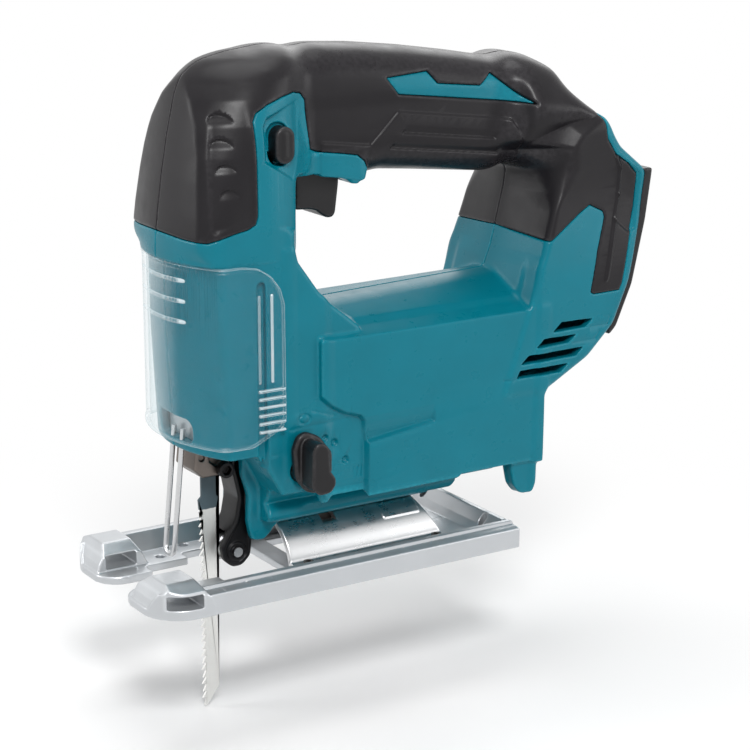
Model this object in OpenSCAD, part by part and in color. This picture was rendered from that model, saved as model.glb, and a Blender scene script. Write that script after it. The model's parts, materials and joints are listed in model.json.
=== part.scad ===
// Cordless top-handle jigsaw without its battery.
// X runs from the nose (-X) to the battery seat (+X), Y across the tool and Z up.
// The origin lies on the underside of the sole, on the tool's centre plane.

/* [Sole] */
// Width over both runners of the sole
sole_w = 76; // [72:1:92]
// Distance from the origin back to the sole's rear edge
sole_rear = 50.5; // [42:0.5:50.5]
// Distance from the origin forward to the nose of the sole
sole_front = 101; // [98:1:122]
// Height of the runners on both sides
rail_h = 9.2; // [7.5:0.1:9.6]
// Thickness of the sole's floor
floor_t = 3; // [2:0.1:3.6]
// Width of the blade gap between the two noses
notch_w = 11; // [8:0.5:14]
// Length of the slot for a rip fence bar, along the sole
fence_slot_l = 12; // [9:0.5:12.5]
// Height of the slot for a rip fence bar
fence_slot_h = 4.8; // [3:0.1:5]

/* [Bevel] */
// Outer radius of the curved tilt bracket
bracket_r = 20; // [18.5:0.1:20.5]
// Wall of the curved tilt bracket
bracket_t = 2.5; // [1.8:0.1:3]
// Length of the tilt bracket along the sole
bracket_l = 65; // [50:1:65]
// Diameter of the bevel clamping bolt
bolt_d = 5.8; // [4.8:0.1:6.2]

/* [Housing] */
// Width of the head behind the clear cover
head_w = 54.6; // [50:0.2:60]
// Width of the motor body
body_w = 61; // [58:0.5:66]
// Width of the handle
handle_w = 34; // [30:0.5:40]
// Width of the battery seat at the rear
rear_w = 56; // [52:0.5:60]
// Wall of the housing where no grip layer covers it
wall = 3.2; // [2.6:0.1:3.4]
// Thickness of the soft grip layer
grip_t = 1.2; // [0.8:0.1:1.4]
// Radius of the head's curved front
head_front_r = 51; // [48:1:70]
// Gap between a part and the piece that holds it
seat_gap = 0.3; // [0.2:0.05:0.4]

/* [Clear cover] */
// Wall of the clear cover
cover_t = 1.6; // [1.2:0.1:1.8]
// Height of the clear cover
cover_h = 64; // [56:1:64]
// Drop of the clear cover from its raised place
cover_drop = 15; // [8:1:15]

/* [Drive] */
// Diameter of the motor can
motor_d = 37; // [34:0.5:38]
// Length of the motor can
motor_l = 56; // [48:1:58]
// Gear module
gear_m = 0.75; // [0.7:0.01:0.78]
// Teeth on the motor pinion
pinion_teeth = 12; // [12:12]
// Teeth on the drive gear
gear_teeth = 48; // [48:48]
// Width of both gears' teeth
gear_w = 7; // [5:0.5:7]
// Stroke of the blade
stroke = 18; // [14:1:18]
// Diameter of the plunger rod
plunger_d = 9; // [7:0.5:10]

/* [Blade] */
// Width of the blade
blade_w = 7.4; // [6:0.1:8]
// Thickness of the blade
blade_t = 1.1; // [0.8:0.1:1.3]
// Distance from the sole down to the blade's tip at the top of the stroke
blade_reach = 51; // [30:1:70]
// Pitch of the blade's teeth
tooth_pitch = 2.8; // [1.8:0.1:4]
// Radius of the roller that backs the blade
roller_r = 5.2; // [4.6:0.1:5.6]

/* [Controls] */
// Travel of the trigger
trigger_travel = 5; // [3:0.5:5]
// Travel of the lock-off button
lock_travel = 4; // [3:0.5:4]
// Width of the trigger
trigger_w = 18; // [14:0.5:20]

/* [Hidden] */
$fn = 64;
eps = 0.01;
run_gap = 0.05;

// tilt clearance: what hangs over the runners keeps above this line at full bevel
tilt_gap = 0.6;
belly_c = (rail_h + tilt_gap) * sqrt(2);
belly_s = (sole_w / 2 + tilt_gap) * sqrt(2);
belly_y = (belly_s - belly_c) / 2;
belly_z = (belly_s + belly_c) / 2;
neck_half = 10;

blade_x = -62.3;
head_half = head_w / 2;
body_half = body_w / 2;
handle_half = handle_w / 2;
rear_half = rear_w / 2;

motor_z = 68;
gear_z = motor_z + gear_m * (pinion_teeth + gear_teeth) / 2;
gear_x = -52;
plate_x = gear_x + gear_w + 1;
plate_t = 4;
motor_x = plate_x + plate_t + 4;
fan_x = motor_x + motor_l + 5;
shaft_r = 1.6;
case_half = 15;
case_bottom = 53.3;
case_top = 119;
rod_bottom = 43;
rod_top = 138;
yoke_h = 12;
bush_r = plunger_d / 2 + 2.5;

floor_z = 50;
cover_top = 118;
cover_in = head_half + 0.9;
cover_front = -81;
cover_back = -47;
cover_low = cover_top - cover_h;
groove_x = -54;
groove_w = 4;

bolt_x = -20;
lever_x = -40;
lever_z = 42.6;
arm_x = -49.5;
arm_z = 45;
roller_groove = 0.8;
roller_x = blade_x + blade_w / 2 + roller_r - roller_groove + 0.15;
roller_z = 8.4;
arm_half = 6;
lock_x = -44.5;
lock_z = 157.7;
trigger_x = [-30, -12];
switch_box = [[-28, -8, 153.5], [8, 8, 174]];
screw_r = 1.5;
screw_at = [[-66, 152], [-50, 134], [-34, 180], [24, 162], [60, 158], [-26, 41], [46, 42], [62, 84]];
seat_tilt = 5.6;
seat_at = [112.4, 134.5];

// ---------- helpers ----------

// outline in X and Z, extruded across Y
module slab_y(pts, y0, y1) {
    translate([0, y1, 0]) rotate([90, 0, 0]) linear_extrude(y1 - y0) polygon(pts);
}

// outline in Y and Z, extruded along X
module bar_x(pts, x0, x1) {
    translate([x0, 0, 0]) rotate([90, 0, 90]) linear_extrude(x1 - x0) polygon(pts);
}

// box from corner to corner, grown by g on every side
module box(lo, hi, g = 0) {
    translate(lo - [g, g, g]) cube(hi - lo + 2 * [g, g, g]);
}

module rod_x(r, x0, x1, z) {
    translate([x0, 0, z]) rotate([0, 90, 0]) cylinder(r = r, h = x1 - x0);
}

module rod_y(r, x, z, y0, y1) {
    translate([x, y1, z]) rotate([90, 0, 0]) cylinder(r = r, h = y1 - y0);
}

module mirror_y() {
    children();
    mirror([0, 1, 0]) children();
}

function unit(v) = v / norm(v);

// a counter-clockwise outline moved inward by d
function inset(p, d) = [
    for (i = [0:len(p) - 1])
        let (
            u = unit(p[i] - p[(i + len(p) - 1) % len(p)]),
            v = unit(p[(i + 1) % len(p)] - p[i]),
            n = [-u[1], u[0]],
            m = [-v[1], v[0]]
        )
        p[i] + d * (n + m) / (1 + n * m)
];

// both halves of an outline that is symmetric in its first coordinate
function both(p) = concat(p, [for (i = [len(p) - 1:-1:0]) [-p[i][0], p[i][1]]]);

// ---------- housing solid, inset by d ----------

head_low = [[-75.6, floor_z], [-38, floor_z], [-38, 130], [-78.5, 130], [-78.5, 90]];
head_top = [
    [-80.4, cover_top + 0.6], [-38, cover_top + 0.6], [-38, 136], [-33, 142], [-22, 142], [-22, 187.6],
    [-42, 188.6], [-57, 187.6], [-68, 182.6], [-73, 172], [-80.4, 129]
];
handle_side = [
    [-46, 141.5], [-4, 141], [52, 136], [66, 142], [74, 173.4], [61, 177.6], [40, 181.2], [19, 184.4],
    [-2, 186.6], [-22, 187.8], [-46, 187.8]
];
web_side = [[-46.2, 40], [-12, 40], [-12, 94], [-36, 118], [-46.2, 118]];
core_side = [[-46.2, 34], [66.5, 34], [66.5, 99.6], [-46.2, 96]];
front_low = [[-56, floor_z], [-47, 34], [-30, 34], [-30, 62], [-56, 62]];
rear_side = [
    [44, 56], [66, 56], [91, 68.6], [102, 77], [107.8, 88], [112.4, 134.5], [101.5, 142.4],
    [95, 148], [90.5, 160.5], [82, 170], [66, 176], [62, 150], [57, 119], [44, 90]
];

module head_solid(d) {
    intersection() {
        slab_y(inset(head_low, d), d - head_half, head_half - d);
        translate([head_front_r - 78.5, 0, 40]) cylinder(r = head_front_r - d, h = 100);
    }
    intersection() {
        slab_y(inset(head_top, d), d - head_half - 0.5, head_half + 0.5 - d);
        translate([head_front_r - 80.4, 0, 125]) rotate([0, 10.6, 0])
            translate([0, 0, -20]) cylinder(r = head_front_r - d, h = 100);
        translate([0, 0, 110]) linear_extrude(90)
            polygon(inset([[-90, -40], [-46, -40], [-20, -15], [-20, 15], [-46, 40], [-90, 40]], d));
        bar_x(inset(both([[11, 192], [20.5, 183.5], [head_half - 1.3, 172.5], [head_half + 1.5, 157], [40, 100]]), -d), -90, 0);
    }
}

module handle_solid(d) {
    intersection() {
        slab_y(inset(handle_side, d), d - handle_half, handle_half - d);
        translate([-22, 0, 164]) rotate([0, 6.3, 0]) bar_x(
            inset(both([[handle_half - 9, 26], [handle_half, 16], [handle_half, -24], [handle_half - 4, -30]]), -d)
            , -40, 110);
    }
}

// belly: cross-section of the motor body, kept above the tilt line
belly = both([
    [0.1, 98.5], [6.5, 98.5], [body_half, 88], [body_half, 50], [body_half - 2.5, belly_z + 2.3],
    [belly_y, belly_z], [0.1, belly_z]
]);

module body_solid(d) {
    intersection() {
        slab_y(inset(core_side, d), d - body_half, body_half - d);
        bar_x(inset(belly, -d), -60, 80);
    }
    slab_y(inset(web_side, d), d - head_half + 1, head_half - 1 - d);
    intersection() {
        slab_y(inset(front_low, d), d - head_half, head_half - d);
        bar_x(inset(belly, -d), -70, 0);
    }
}

module rear_solid(d) {
    intersection() {
        slab_y(inset(rear_side, d), d - rear_half, rear_half - d);
        translate([51, 0, 99.5]) rotate([0, 19.5, 0]) translate([0, 0, -80]) linear_extrude(180)
            polygon(inset([[0, -12], [12, -rear_half], [110, -rear_half], [110, rear_half], [12, rear_half], [0, 12]], d));
        bar_x(inset(both([[8, 180], [handle_half, 172], [rear_half - 4.5, 160], [rear_half + 0.4, 146], [40, 40]]), -d), 40, 120);
    }
}

// wedge and neck under the motor body, which carry it on the tilt bracket
module neck_solid(d) {
    wedge = [[-9, belly_c + 9], [9, belly_c + 9], [belly_y, belly_z], [belly_y, 44], [-belly_y, 44], [-belly_y, belly_z]];
    bar_x(inset(wedge, d), -47 + d, sole_rear + 1 - d);
    difference() {
        box([-45 + d, -neck_half + d, 16 + d], [26 - d, neck_half - d, 40]);
        rod_x(bracket_r + seat_gap + d, -60, 60, 0);
    }
}

module outer_solid(d) {
    head_solid(d);
    handle_solid(d);
    body_solid(d);
    rear_solid(d);
    neck_solid(d);
}

// ---------- cuts and ribs of the housing ----------

// side view of the zones that carry the soft grip
grip_side = [
    [-95, 127], [-56.5, 132], [-54.8, 166], [-41.5, 173.5], [-37.5, 172], [-33.5, 154.5], [-16, 151],
    [-11.5, 146.5], [-12, 120], [48, 120], [65.8, 112.1], [85.3, 124.6], [92, 120.9], [88.8, 91.5],
    [100.3, 90.1], [108, 133], [100, 140], [94, 145], [90.5, 152.5], [88.3, 158], [88, 200], [-95, 200]
];
// bare stripe of housing that shows through the grip on the handle
stripe_side = [[3.8, 176], [9.3, 169.6], [66.5, 161.6], [47.9, 173.9], [44.5, 169.5], [25.4, 172], [20.6, 176.5]];
foot_side = [[51.8, 25.5], [53.5, 19], [57, 15.3], [62.3, 15.5], [65.7, 21], [65.2, 27], [66.5, 35.5], [66.5, 60], [51.8, 60]];
lobe_side = [[-54, 46], [-53.5, 38], [-51, 30], [-51.5, 20], [-50, 13], [-45, 12.4], [-41.5, 15.5], [-40.3, 18], [-40.3, 46]];

module grip_zone() {
    difference() {
        slab_y(grip_side, -50, 50);
        slab_y(stripe_side, -50, 50);
    }
}

// frame of the battery seat: X out of the rear face, Z up along it
module at_seat() {
    translate([seat_at[0], 0, seat_at[1]]) rotate([0, seat_tilt, 0]) children();
}

module lock_outline(g) {
    for (z = [-2.6, 2.6]) translate([lock_x, 0, lock_z + z]) rotate([90, 0, 0])
        cylinder(r = 3.8 + g, h = head_w + 10, center = true);
    box([lock_x - 3.8 - g, -head_half - 5, lock_z - 2.6], [lock_x + 3.8 + g, head_half + 5, lock_z + 2.6]);
}

// one vent slot's place and length: start in X, end in X, height of its middle
vents = [[68, 87, 79.6], [60.3, 79, 74.4], [53.2, 82, 69.3], [52, 75, 64]];

module vent_cuts() {
    for (v = vents) mirror_y() translate([v[0], rear_half - 8, v[2]]) rotate([0, -8, 0])
        translate([0, 0, -1.5]) cube([v[1] - v[0], 20, 3]);
}

// half width of the housing where a screw sits
function half_at(p) = p[1] > 140 && p[0] > -30 ? handle_half : p[1] < 50 ? body_half - 3.5 :
    p[0] < -30 ? head_half - 1 : body_half - 1.5;

module screw_cuts() {
    for (p = screw_at) {
        rod_y(screw_r, p[0], p[1], 6 - half_at(p), half_at(p));
        rod_y(3.2, p[0], p[1], half_at(p) - 4.5, 60);
    }
}

module guard_wire(g) {
    translate([-73.6, 0, 55]) rotate([0, 5.9, 0]) {
        mirror_y() translate([0, 3.3, -43]) cylinder(r = 1.15 + g, h = 43);
        translate([0, 0, -43]) rotate([90, 0, 90]) rotate([0, 0, 180])
            rotate_extrude(angle = 180) translate([3.3, 0]) circle(r = 1.15 + g);
    }
}

// ribs and bosses that stand inside the shell and carry the works
module ribs() {
    for (x = [motor_x + 8, motor_x + motor_l - 8]) box([x, -body_half, 30], [x + 2, body_half, 98]);
    for (x = [switch_box[0][0] + 4, switch_box[1][0] - 6])
        box([x, -handle_half, 150], [x + 2, handle_half, 188]);
    mirror_y() box([plate_x - 2, case_half + seat_gap, 58], [plate_x + plate_t + 2, head_half - 1, 112]);
    mirror_y() box([arm_x - 5, arm_half + 0.6, 36], [arm_x + 5, 10, floor_z + 1]);
    box([73, 1 - rear_half, 93], [92, rear_half - 1, 97.7]);
    box([lever_x - 6, 1 - body_half, lever_z - 6], [lever_x + 6, -18, lever_z + 6]);
    box([bolt_x - 9, -neck_half, 20], [bolt_x + 9, neck_half, 32]);
    for (p = screw_at) rod_y(screw_r + 2.3, p[0], p[1], 1.5 - half_at(p), half_at(p) - 1.5);
}

// room for every piece that the housing holds
module pockets() {
    rod_x(motor_d / 2 + seat_gap, motor_x - 4, motor_x + motor_l + 4.3, motor_z);
    rod_x(motor_d / 2 + 1, fan_x - 1, fan_x + 10, motor_z);
    box([-72, -case_half, case_bottom], [plate_x + plate_t, case_half, case_top], seat_gap);
    rod_x(gear_m * gear_teeth / 2 + 2, gear_x - 6, plate_x, gear_z);
    translate([blade_x, 0, floor_z - 2]) cylinder(r = 8.3, h = rod_top - floor_z + 5);
    box(switch_box[0], switch_box[1], seat_gap);
    box([trigger_x[0] - 0.5, -trigger_w / 2 - 0.5, 118], [trigger_x[1] + 0.6, trigger_w / 2 + 0.5, 154.5]);
    lock_outline(0.3);
    rod_y(4 + run_gap, lever_x, lever_z, -40, 6.5);
    box([-62, -arm_half - 0.6, 30], [-44.6, arm_half + 0.6, floor_z + 2.8]);
    rod_y(1.5, arm_x, arm_z, -9.6, 9.6);
    guard_wire(run_gap);
    at_seat() {
        box([-10, -24.5, -46], [8, 24.5, 0], seat_gap);
        box([-7.3, -18.9, -40], [8, 18.9, 16]);
    }
    translate([bolt_x, 0, 10]) cylinder(r = bolt_d / 2 + 0.2, h = 30);
    translate([bolt_x, 0, 25]) cylinder(r = 6.2, h = 8, $fn = 6);
    mirror_y() box([groove_x - groove_w / 2, head_half - 2.2, 42], [groove_x + groove_w / 2, 40, 112]);
}

module half_space(side) {
    translate([-150, side < 0 ? -60 : 0, -20]) cube([320, 60, 260]);
}

module housing(side) {
    intersection() {
        difference() {
            union() {
                difference() {
                    outer_solid(0);
                    grip_zone();
                }
                outer_solid(grip_t);
                mirror_y() slab_y(foot_side, 20.5, 27);
                mirror_y() slab_y(lobe_side, arm_half + 0.6, 10);
            }
            difference() {
                outer_solid(wall);
                ribs();
            }
            pockets();
            vent_cuts();
            screw_cuts();
        }
        half_space(side);
    }
}

module grip(side) {
    intersection() {
        difference() {
            outer_solid(0);
            outer_solid(grip_t);
            pockets();
            screw_cuts();
        }
        grip_zone();
        half_space(side);
    }
}

module housing_left() { color("teal") housing(-1); }
module housing_right() { color("teal") housing(1); }
module grip_left() { color("dimgray") grip(-1); }
module grip_right() { color("dimgray") grip(1); }

module housing_screws() {
    color("gray") for (p = screw_at) difference() {
        union() {
            rod_y(screw_r - run_gap, p[0], p[1], 6.5 - half_at(p), half_at(p) - 4.5);
            rod_y(2.9, p[0], p[1], half_at(p) - 4.5, half_at(p) - 2);
        }
        rod_y(1.2, p[0], p[1], half_at(p) - 3.6, half_at(p), $fn = 6);
    }
}

// ---------- sole and bevel gear ----------

runner = [
    [25.5, 0], [sole_w / 2, 0], [sole_w / 2, rail_h - 1.6], [sole_w / 2 - 2, rail_h - 1.2],
    [sole_w / 2 - 4.4, rail_h - 1], [sole_w / 2 - 5.2, rail_h], [sole_w / 2 - 7.4, rail_h], [25.5, floor_t]
];

// plan of one nose with its rounded corners, for the right-hand side
module nose_plan() {
    inner = notch_w / 2;
    outer = sole_w / 2;
    front = -sole_front;
    difference() {
        translate([front, inner]) square([sole_front - 61, outer - inner]);
        translate([front - 1, outer - 15]) square([16, 16]);
        translate([front - 1, inner - 1]) square([10, 10]);
    }
    translate([front + 15, outer - 15]) circle(r = 15);
    translate([front + 9, inner + 9]) circle(r = 9);
}

module blade_gap() {
    translate([-sole_front - 1, -notch_w / 2, -1]) cube([sole_front - 66, notch_w, 20]);
    translate([-82.4, -11.6, -1]) cube([20, 23.2, 20]);
    translate([-65, -17.5, -1]) cube([25, 35, 20]);
}

module sole_plate() {
    color("silver") difference() {
        union() {
            translate([-70, -sole_w / 2, 0]) cube([70 + sole_rear, sole_w, floor_t]);
            mirror_y() linear_extrude(floor_t) nose_plan();
            mirror_y() intersection() {
                union() {
                    bar_x(runner, -sole_front, sole_rear);
                    translate([-sole_front, 0, 0]) slab_y([[2, 1], [19, 1], [19, rail_h], [16.7, 12], [6, 12],
                        [3, 7]], 14, sole_w / 2);
                }
                union() {
                    linear_extrude(30) nose_plan();
                    translate([-70, 0, 0]) cube([70 + sole_rear, sole_w / 2, 30]);
                }
            }
            slab_y([[sole_rear - 7, 0], [sole_rear, 0], [sole_rear, rail_h - 0.6], [sole_rear - 1, rail_h],
                [sole_rear - 3, rail_h], [sole_rear - 6, 5], [sole_rear - 9, floor_t]], -30, 30);
        }
        blade_gap();
        translate([-sole_front + 16.4, 0, floor_t + 0.7]) box([-fence_slot_l, -50, 0], [0, 50, fence_slot_h]);
        box([bolt_x - 12, -13, -1], [bolt_x + 12, 13, 10]);
    }
}

bracket_x0 = -39.5;
bracket_x1 = bracket_x0 + bracket_l;
bracket_screw_at = [for (x = [bracket_x0 + 5, bracket_x1 - 5]) for (y = [-23.2, 23.2]) [x, y]];

module tilt_bracket() {
    color("gainsboro") difference() {
        union() {
            rod_x(bracket_r, bracket_x0, bracket_x1, 0);
            box([bracket_x0, -25.3, floor_t], [bracket_x1, 25.3, floor_t + 2]);
        }
        rod_x(bracket_r - bracket_t, bracket_x0 - 1, bracket_x1 + 1, 0);
        box([bracket_x0 - 1, -30, -30], [bracket_x1 + 1, 30, floor_t]);
        intersection() {
            box([bolt_x - 3.4, -40, 0], [bolt_x + 3.4, 40, 40]);
            bar_x([[0, 0], [36, 22], [36, 40], [-36, 40], [-36, 22]], bolt_x - 5, bolt_x + 5);
        }
        for (p = bracket_screw_at) translate([p[0], p[1], 0]) cylinder(r = 1.2, h = 10);
    }
}

module bracket_screws() {
    color("gray") for (p = bracket_screw_at) translate([p[0], p[1], floor_t + 2]) difference() {
        cylinder(r = 1.9, h = 1.4);
        translate([0, 0, 0.6]) cylinder(r = 1, h = 2, $fn = 6);
    }
}

shoe_r = bracket_r - bracket_t - seat_gap;

module bevel_clamp_shoe() {
    color("gray") difference() {
        intersection() {
            rod_x(shoe_r, bolt_x - 8, bolt_x + 8, 0);
            box([bolt_x - 9, -5.5, 13.8], [bolt_x + 9, 5.5, 30]);
        }
        translate([bolt_x, 0, 0]) cylinder(r = bolt_d / 2 + run_gap, h = 40);
    }
}

module bevel_bolt() {
    color("dimgray") translate([bolt_x, 0, 0]) difference() {
        union() {
            translate([0, 0, 13.8]) cylinder(r = bolt_d / 2, h = 16.2);
            translate([0, 0, 9]) cylinder(r = 4.8, h = 4.8);
        }
        translate([0, 0, 8]) cylinder(r = 2.3, h = 4, $fn = 6);
    }
}

module bevel_nut() {
    color("silver") translate([bolt_x, 0, 25]) difference() {
        cylinder(r = 6, h = 5, $fn = 6);
        translate([0, 0, -1]) cylinder(r = bolt_d / 2, h = 8);
    }
}

// ---------- battery seat ----------

module battery_frame() {
    color("black") at_seat() difference() {
        box([-10, -24.5, -46], [3, 24.5, 0]);
        box([-7, -18.6, -43], [0, 18.6, 1]);
        box([-1, -16, -43], [4, 16, 1]);
    }
}

module terminal_block() {
    color("black") at_seat() box([-7, -9, -36], [-2.6, 9, -20]);
}

module terminal_blades() {
    color("gold") at_seat() for (y = [-6, 0, 6]) box([-6.2, y - 0.4, -20], [-3.4, y + 0.4, -11]);
}

// ---------- gear case and motor ----------

module gear_case() {
    color("lightgray") difference() {
        union() {
            box([plate_x, -case_half, case_bottom], [plate_x + plate_t, case_half, case_top]);
            box([-71.5, -10, case_bottom], [plate_x, 10, case_bottom + 8]);
            box([-71.5, -10, case_top - 8], [plate_x, 10, case_top]);
        }
        translate([blade_x, 0, case_bottom - 1]) cylinder(r = bush_r, h = 80);
        rod_x(3, plate_x - 1, plate_x + 6, gear_z);
        rod_x(shaft_r + 1.4, plate_x - 1, plate_x + 6, motor_z);
    }
}

module bush(z) {
    color("goldenrod") translate([blade_x, 0, z]) difference() {
        cylinder(r = bush_r, h = 8);
        translate([0, 0, -1]) cylinder(r = plunger_d / 2 + run_gap, h = 10);
    }
}

module lower_bush() { bush(case_bottom); }
module upper_bush() { bush(case_top - 8); }

module dust_seal() {
    color("dimgray") translate([blade_x, 0, floor_z]) difference() {
        cylinder(r = 8.2, h = case_bottom - floor_z);
        translate([0, 0, -1]) cylinder(r = plunger_d / 2 + run_gap, h = 6);
    }
}

module wire_guard() { color("silver") guard_wire(0); }

module motor_can() {
    color("lightsteelblue") difference() {
        union() {
            rod_x(motor_d / 2, motor_x, motor_x + motor_l, motor_z);
            rod_x(7.5, motor_x - 3.6, motor_x, motor_z);
        }
        rod_x(motor_d / 2 - 1.6, motor_x + 1.6, motor_x + motor_l + 1, motor_z);
        rod_x(6, motor_x - 4, motor_x + 2, motor_z);
    }
}

module motor_magnets() {
    color("darkslategray") difference() {
        rod_x(motor_d / 2 - 1.65, motor_x + 8, motor_x + 44, motor_z);
        rod_x(motor_d / 2 - 5, motor_x + 7, motor_x + 45, motor_z);
        for (s = [-1, 1]) translate([motor_x + 7, s * 15 - 15 + (s < 0 ? -3 : 3), motor_z - 5]) cube([38, 30, 10]);
    }
}

module motor_end_bell() {
    color("black") difference() {
        rod_x(motor_d / 2 - 1.6, motor_x + motor_l - 6, motor_x + motor_l, motor_z);
        rod_x(5, motor_x + motor_l - 7, motor_x + motor_l + 1, motor_z);
        rod_x(13, motor_x + motor_l - 7, motor_x + motor_l - 4, motor_z);
    }
}

module bearing(x, r, w) {
    color("silver") difference() {
        rod_x(r, x, x + w, motor_z);
        rod_x(shaft_r + run_gap, x - 1, x + w + 1, motor_z);
    }
}

module front_bearing() { bearing(motor_x - 3.6, 6, 4); }
module rear_bearing() { bearing(motor_x + motor_l - 4, 5, 4); }

module carbon_brushes() {
    color("dimgray") mirror_y()
        box([motor_x + 44.5, 6.3, motor_z - 2.5], [motor_x + 49.5, motor_d / 2 - 2, motor_z + 2.5]);
}

module gear_spindle() {
    color("silver") {
        rod_x(3, gear_x, plate_x + plate_t, gear_z);
        rod_x(4.5, gear_x - 0.8, gear_x - 0.2, gear_z);
        rod_x(3, gear_x - 0.3, gear_x, gear_z);
    }
}

module arm_pivot_pin() { color("silver") rod_y(1.5, arm_x, arm_z, -9.6, 9.6); }

module motor_shaft() { color("silver") rod_x(shaft_r, gear_x - 0.5, fan_x + 9, motor_z); }

module rotor_core() {
    color("peru") difference() {
        rod_x(motor_d / 2 - 5.6, motor_x + 9, motor_x + 43, motor_z);
        rod_x(shaft_r, motor_x + 8, motor_x + 44, motor_z);
        for (a = [0:36:359]) translate([motor_x + 8, 0, motor_z]) rotate([a, 0, 0])
            translate([0, -0.9, 7]) cube([36, 1.8, 20]);
    }
}

module commutator() {
    color("peru") difference() {
        rod_x(6, motor_x + 43, motor_x + 50.5, motor_z);
        rod_x(shaft_r, motor_x + 42, motor_x + 51, motor_z);
    }
}

module cooling_fan() {
    color("black") translate([fan_x, 0, motor_z]) rotate([0, 90, 0]) difference() {
        union() {
            cylinder(r = 16.5, h = 1.6);
            cylinder(r = 4.5, h = 8);
            for (a = [0:30:359]) rotate([0, 0, a]) translate([4, -0.6, 1]) cube([12, 1.2, 7]);
        }
        translate([0, 0, -1]) cylinder(r = shaft_r, h = 10);
    }
}

// involute spur gear outline: half tooth angle at radius r for a pitch radius rp
function inv(a) = tan(a) * 180 / PI - a;
function half_tooth(r, rp, n) = let (rb = rp * cos(20), q = max(r, rb))
    90 / n + inv(20) - inv(acos(rb / q)) - 0.09 * 180 / PI / rp;
function gear_outline(n) = let (rp = gear_m * n / 2, radii = [rp - 1.15 * gear_m, rp, rp + 0.8 * gear_m]) [
    for (i = [0:n - 1]) each concat(
        [for (k = [0:2]) let (a = 360 * i / n - half_tooth(radii[k], rp, n)) radii[k] * [cos(a), sin(a)]],
        [for (k = [2:-1:0]) let (a = 360 * i / n + half_tooth(radii[k], rp, n)) radii[k] * [cos(a), sin(a)]]
    )
];

// a gear on the X axis with tooth 0 turned by a from +Z
module gear(n, z, bore, a) {
    difference() {
        translate([gear_x, 0, z]) rotate([0, 90, 0]) rotate([0, 0, 180 + a])
            linear_extrude(gear_w) polygon(gear_outline(n));
        rod_x(bore, gear_x - 1, gear_x + gear_w + 1, z);
    }
}

module pinion() { color("silver") gear(pinion_teeth, motor_z, shaft_r, 0); }

module drive_gear() {
    color("gray") gear(gear_teeth, gear_z, 3 + run_gap, 180 / gear_teeth);
}

crank_r = stroke / 2;

module crank_pin() {
    color("silver") rod_x(3.1, gear_x - 3.2, gear_x, gear_z + crank_r);
}

// ---------- plunger and blade ----------

module plunger_rod() {
    color("silver") difference() {
        translate([blade_x, 0, rod_bottom]) cylinder(r = plunger_d / 2, h = rod_top - rod_bottom);
        box([blade_x - 3, -blade_t / 2, rod_bottom - 1], [blade_x + 3, blade_t / 2, 49]);
    }
}

module plunger_yoke() {
    z = gear_z + crank_r;
    color("gray") difference() {
        box([blade_x - 6, -13.5, z - yoke_h / 2], [gear_x - 3.6, 13.5, z + yoke_h / 2]);
        box([blade_x + plunger_d / 2 + 0.1, -12.3, z - 3.2], [gear_x, 12.3, z + 3.2]);
        translate([blade_x, 0, z - 20]) cylinder(r = plunger_d / 2 + run_gap, h = 40);
    }
}

module blade_clamp() {
    color("dimgray") difference() {
        slab_y([[-71.3, 42], [-68, 38.8], [-57.8, 38.8], [-57, 41], [-57, 46], [-58.4, 49.2], [-70.5, 49.2]], -7.5, 7.5);
        translate([blade_x, 0, rod_bottom]) cylinder(r = plunger_d / 2 + run_gap, h = 20);
        box([blade_x - 5, -blade_t / 2, 38], [blade_x + 6, blade_t / 2, rod_bottom + 2]);
        rod_y(1.6, -60, 41.3, -10, -blade_t / 2);
    }
}

module clamp_screw() {
    color("gray") difference() {
        union() {
            rod_y(1.6, -60, 41.3, -7.5, -blade_t / 2);
            rod_y(3, -60, 41.3, -10.6, -7.5);
        }
        rod_y(1.6, -60, 41.3, -11, -8.6, $fn = 6);
    }
}

module blade() {
    front = blade_x - blade_w / 2;
    back = blade_x + blade_w / 2;
    teeth = floor((24 + blade_reach - 6) / tooth_pitch);
    color("white") slab_y(concat(
        [[back, -blade_reach + 3], [back, 25], [blade_x + 2.6, 27], [blade_x + 2.6, 38.8], [blade_x + 4.9, 41],
         [blade_x + 2.4, 43.2], [blade_x + 2.4, 48.6], [blade_x - 2.4, 48.6], [blade_x - 2.4, 43.2],
         [blade_x - 4.9, 41], [blade_x - 2.6, 38.8], [blade_x - 2.6, 27], [front + 0.6, 25]],
        [for (i = [0:teeth - 1]) each [
            [front + 1.4, 24 - i * tooth_pitch],
            [front, 24 - tooth_pitch + 0.1 - i * tooth_pitch]
        ]],
        [[front + 1, -blade_reach + 3], [blade_x, -blade_reach]]
    ), -blade_t / 2, blade_t / 2);
}

// ---------- roller support ----------

arm_side = [
    [-53.5, 48.6], [-56, 41.5], [-54.6, 36], [-53, 28], [-54.5, 20], [-57.5, 15.6], [-60.3, 11], [-59.5, 6],
    [-56, 2.8], [-52, 2.8], [-48.5, 6], [-47.6, 14], [-48.5, 24], [-48, 36], [-46, 42], [-46, 48.6]
];

module roller_arm() {
    color("black") difference() {
        slab_y(arm_side, -arm_half, arm_half);
        box([-70, -3.3, -5], [-40, 3.3, 15.6]);
        rod_y(roller_pin_r, roller_x, roller_z, -10, 10);
        rod_y(1.5 + run_gap, arm_x, arm_z, -10, 10);
    }
}

roller_pin_r = 1.8;

module roller_pin() { color("silver") rod_y(roller_pin_r, roller_x, roller_z, -6.8, 6.8); }

module roller() {
    color("silver") difference() {
        rod_y(roller_r, roller_x, roller_z, -3, 3);
        translate([roller_x, 0, roller_z]) rotate([90, 0, 0]) difference() {
            cylinder(r = roller_r + 1, h = 2 * (blade_t / 2 + 0.3), center = true);
            cylinder(r = roller_r - roller_groove, h = 10, center = true);
        }
        rod_y(roller_pin_r + run_gap, roller_x, roller_z, -10, 10);
    }
}

// ---------- controls ----------

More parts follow.
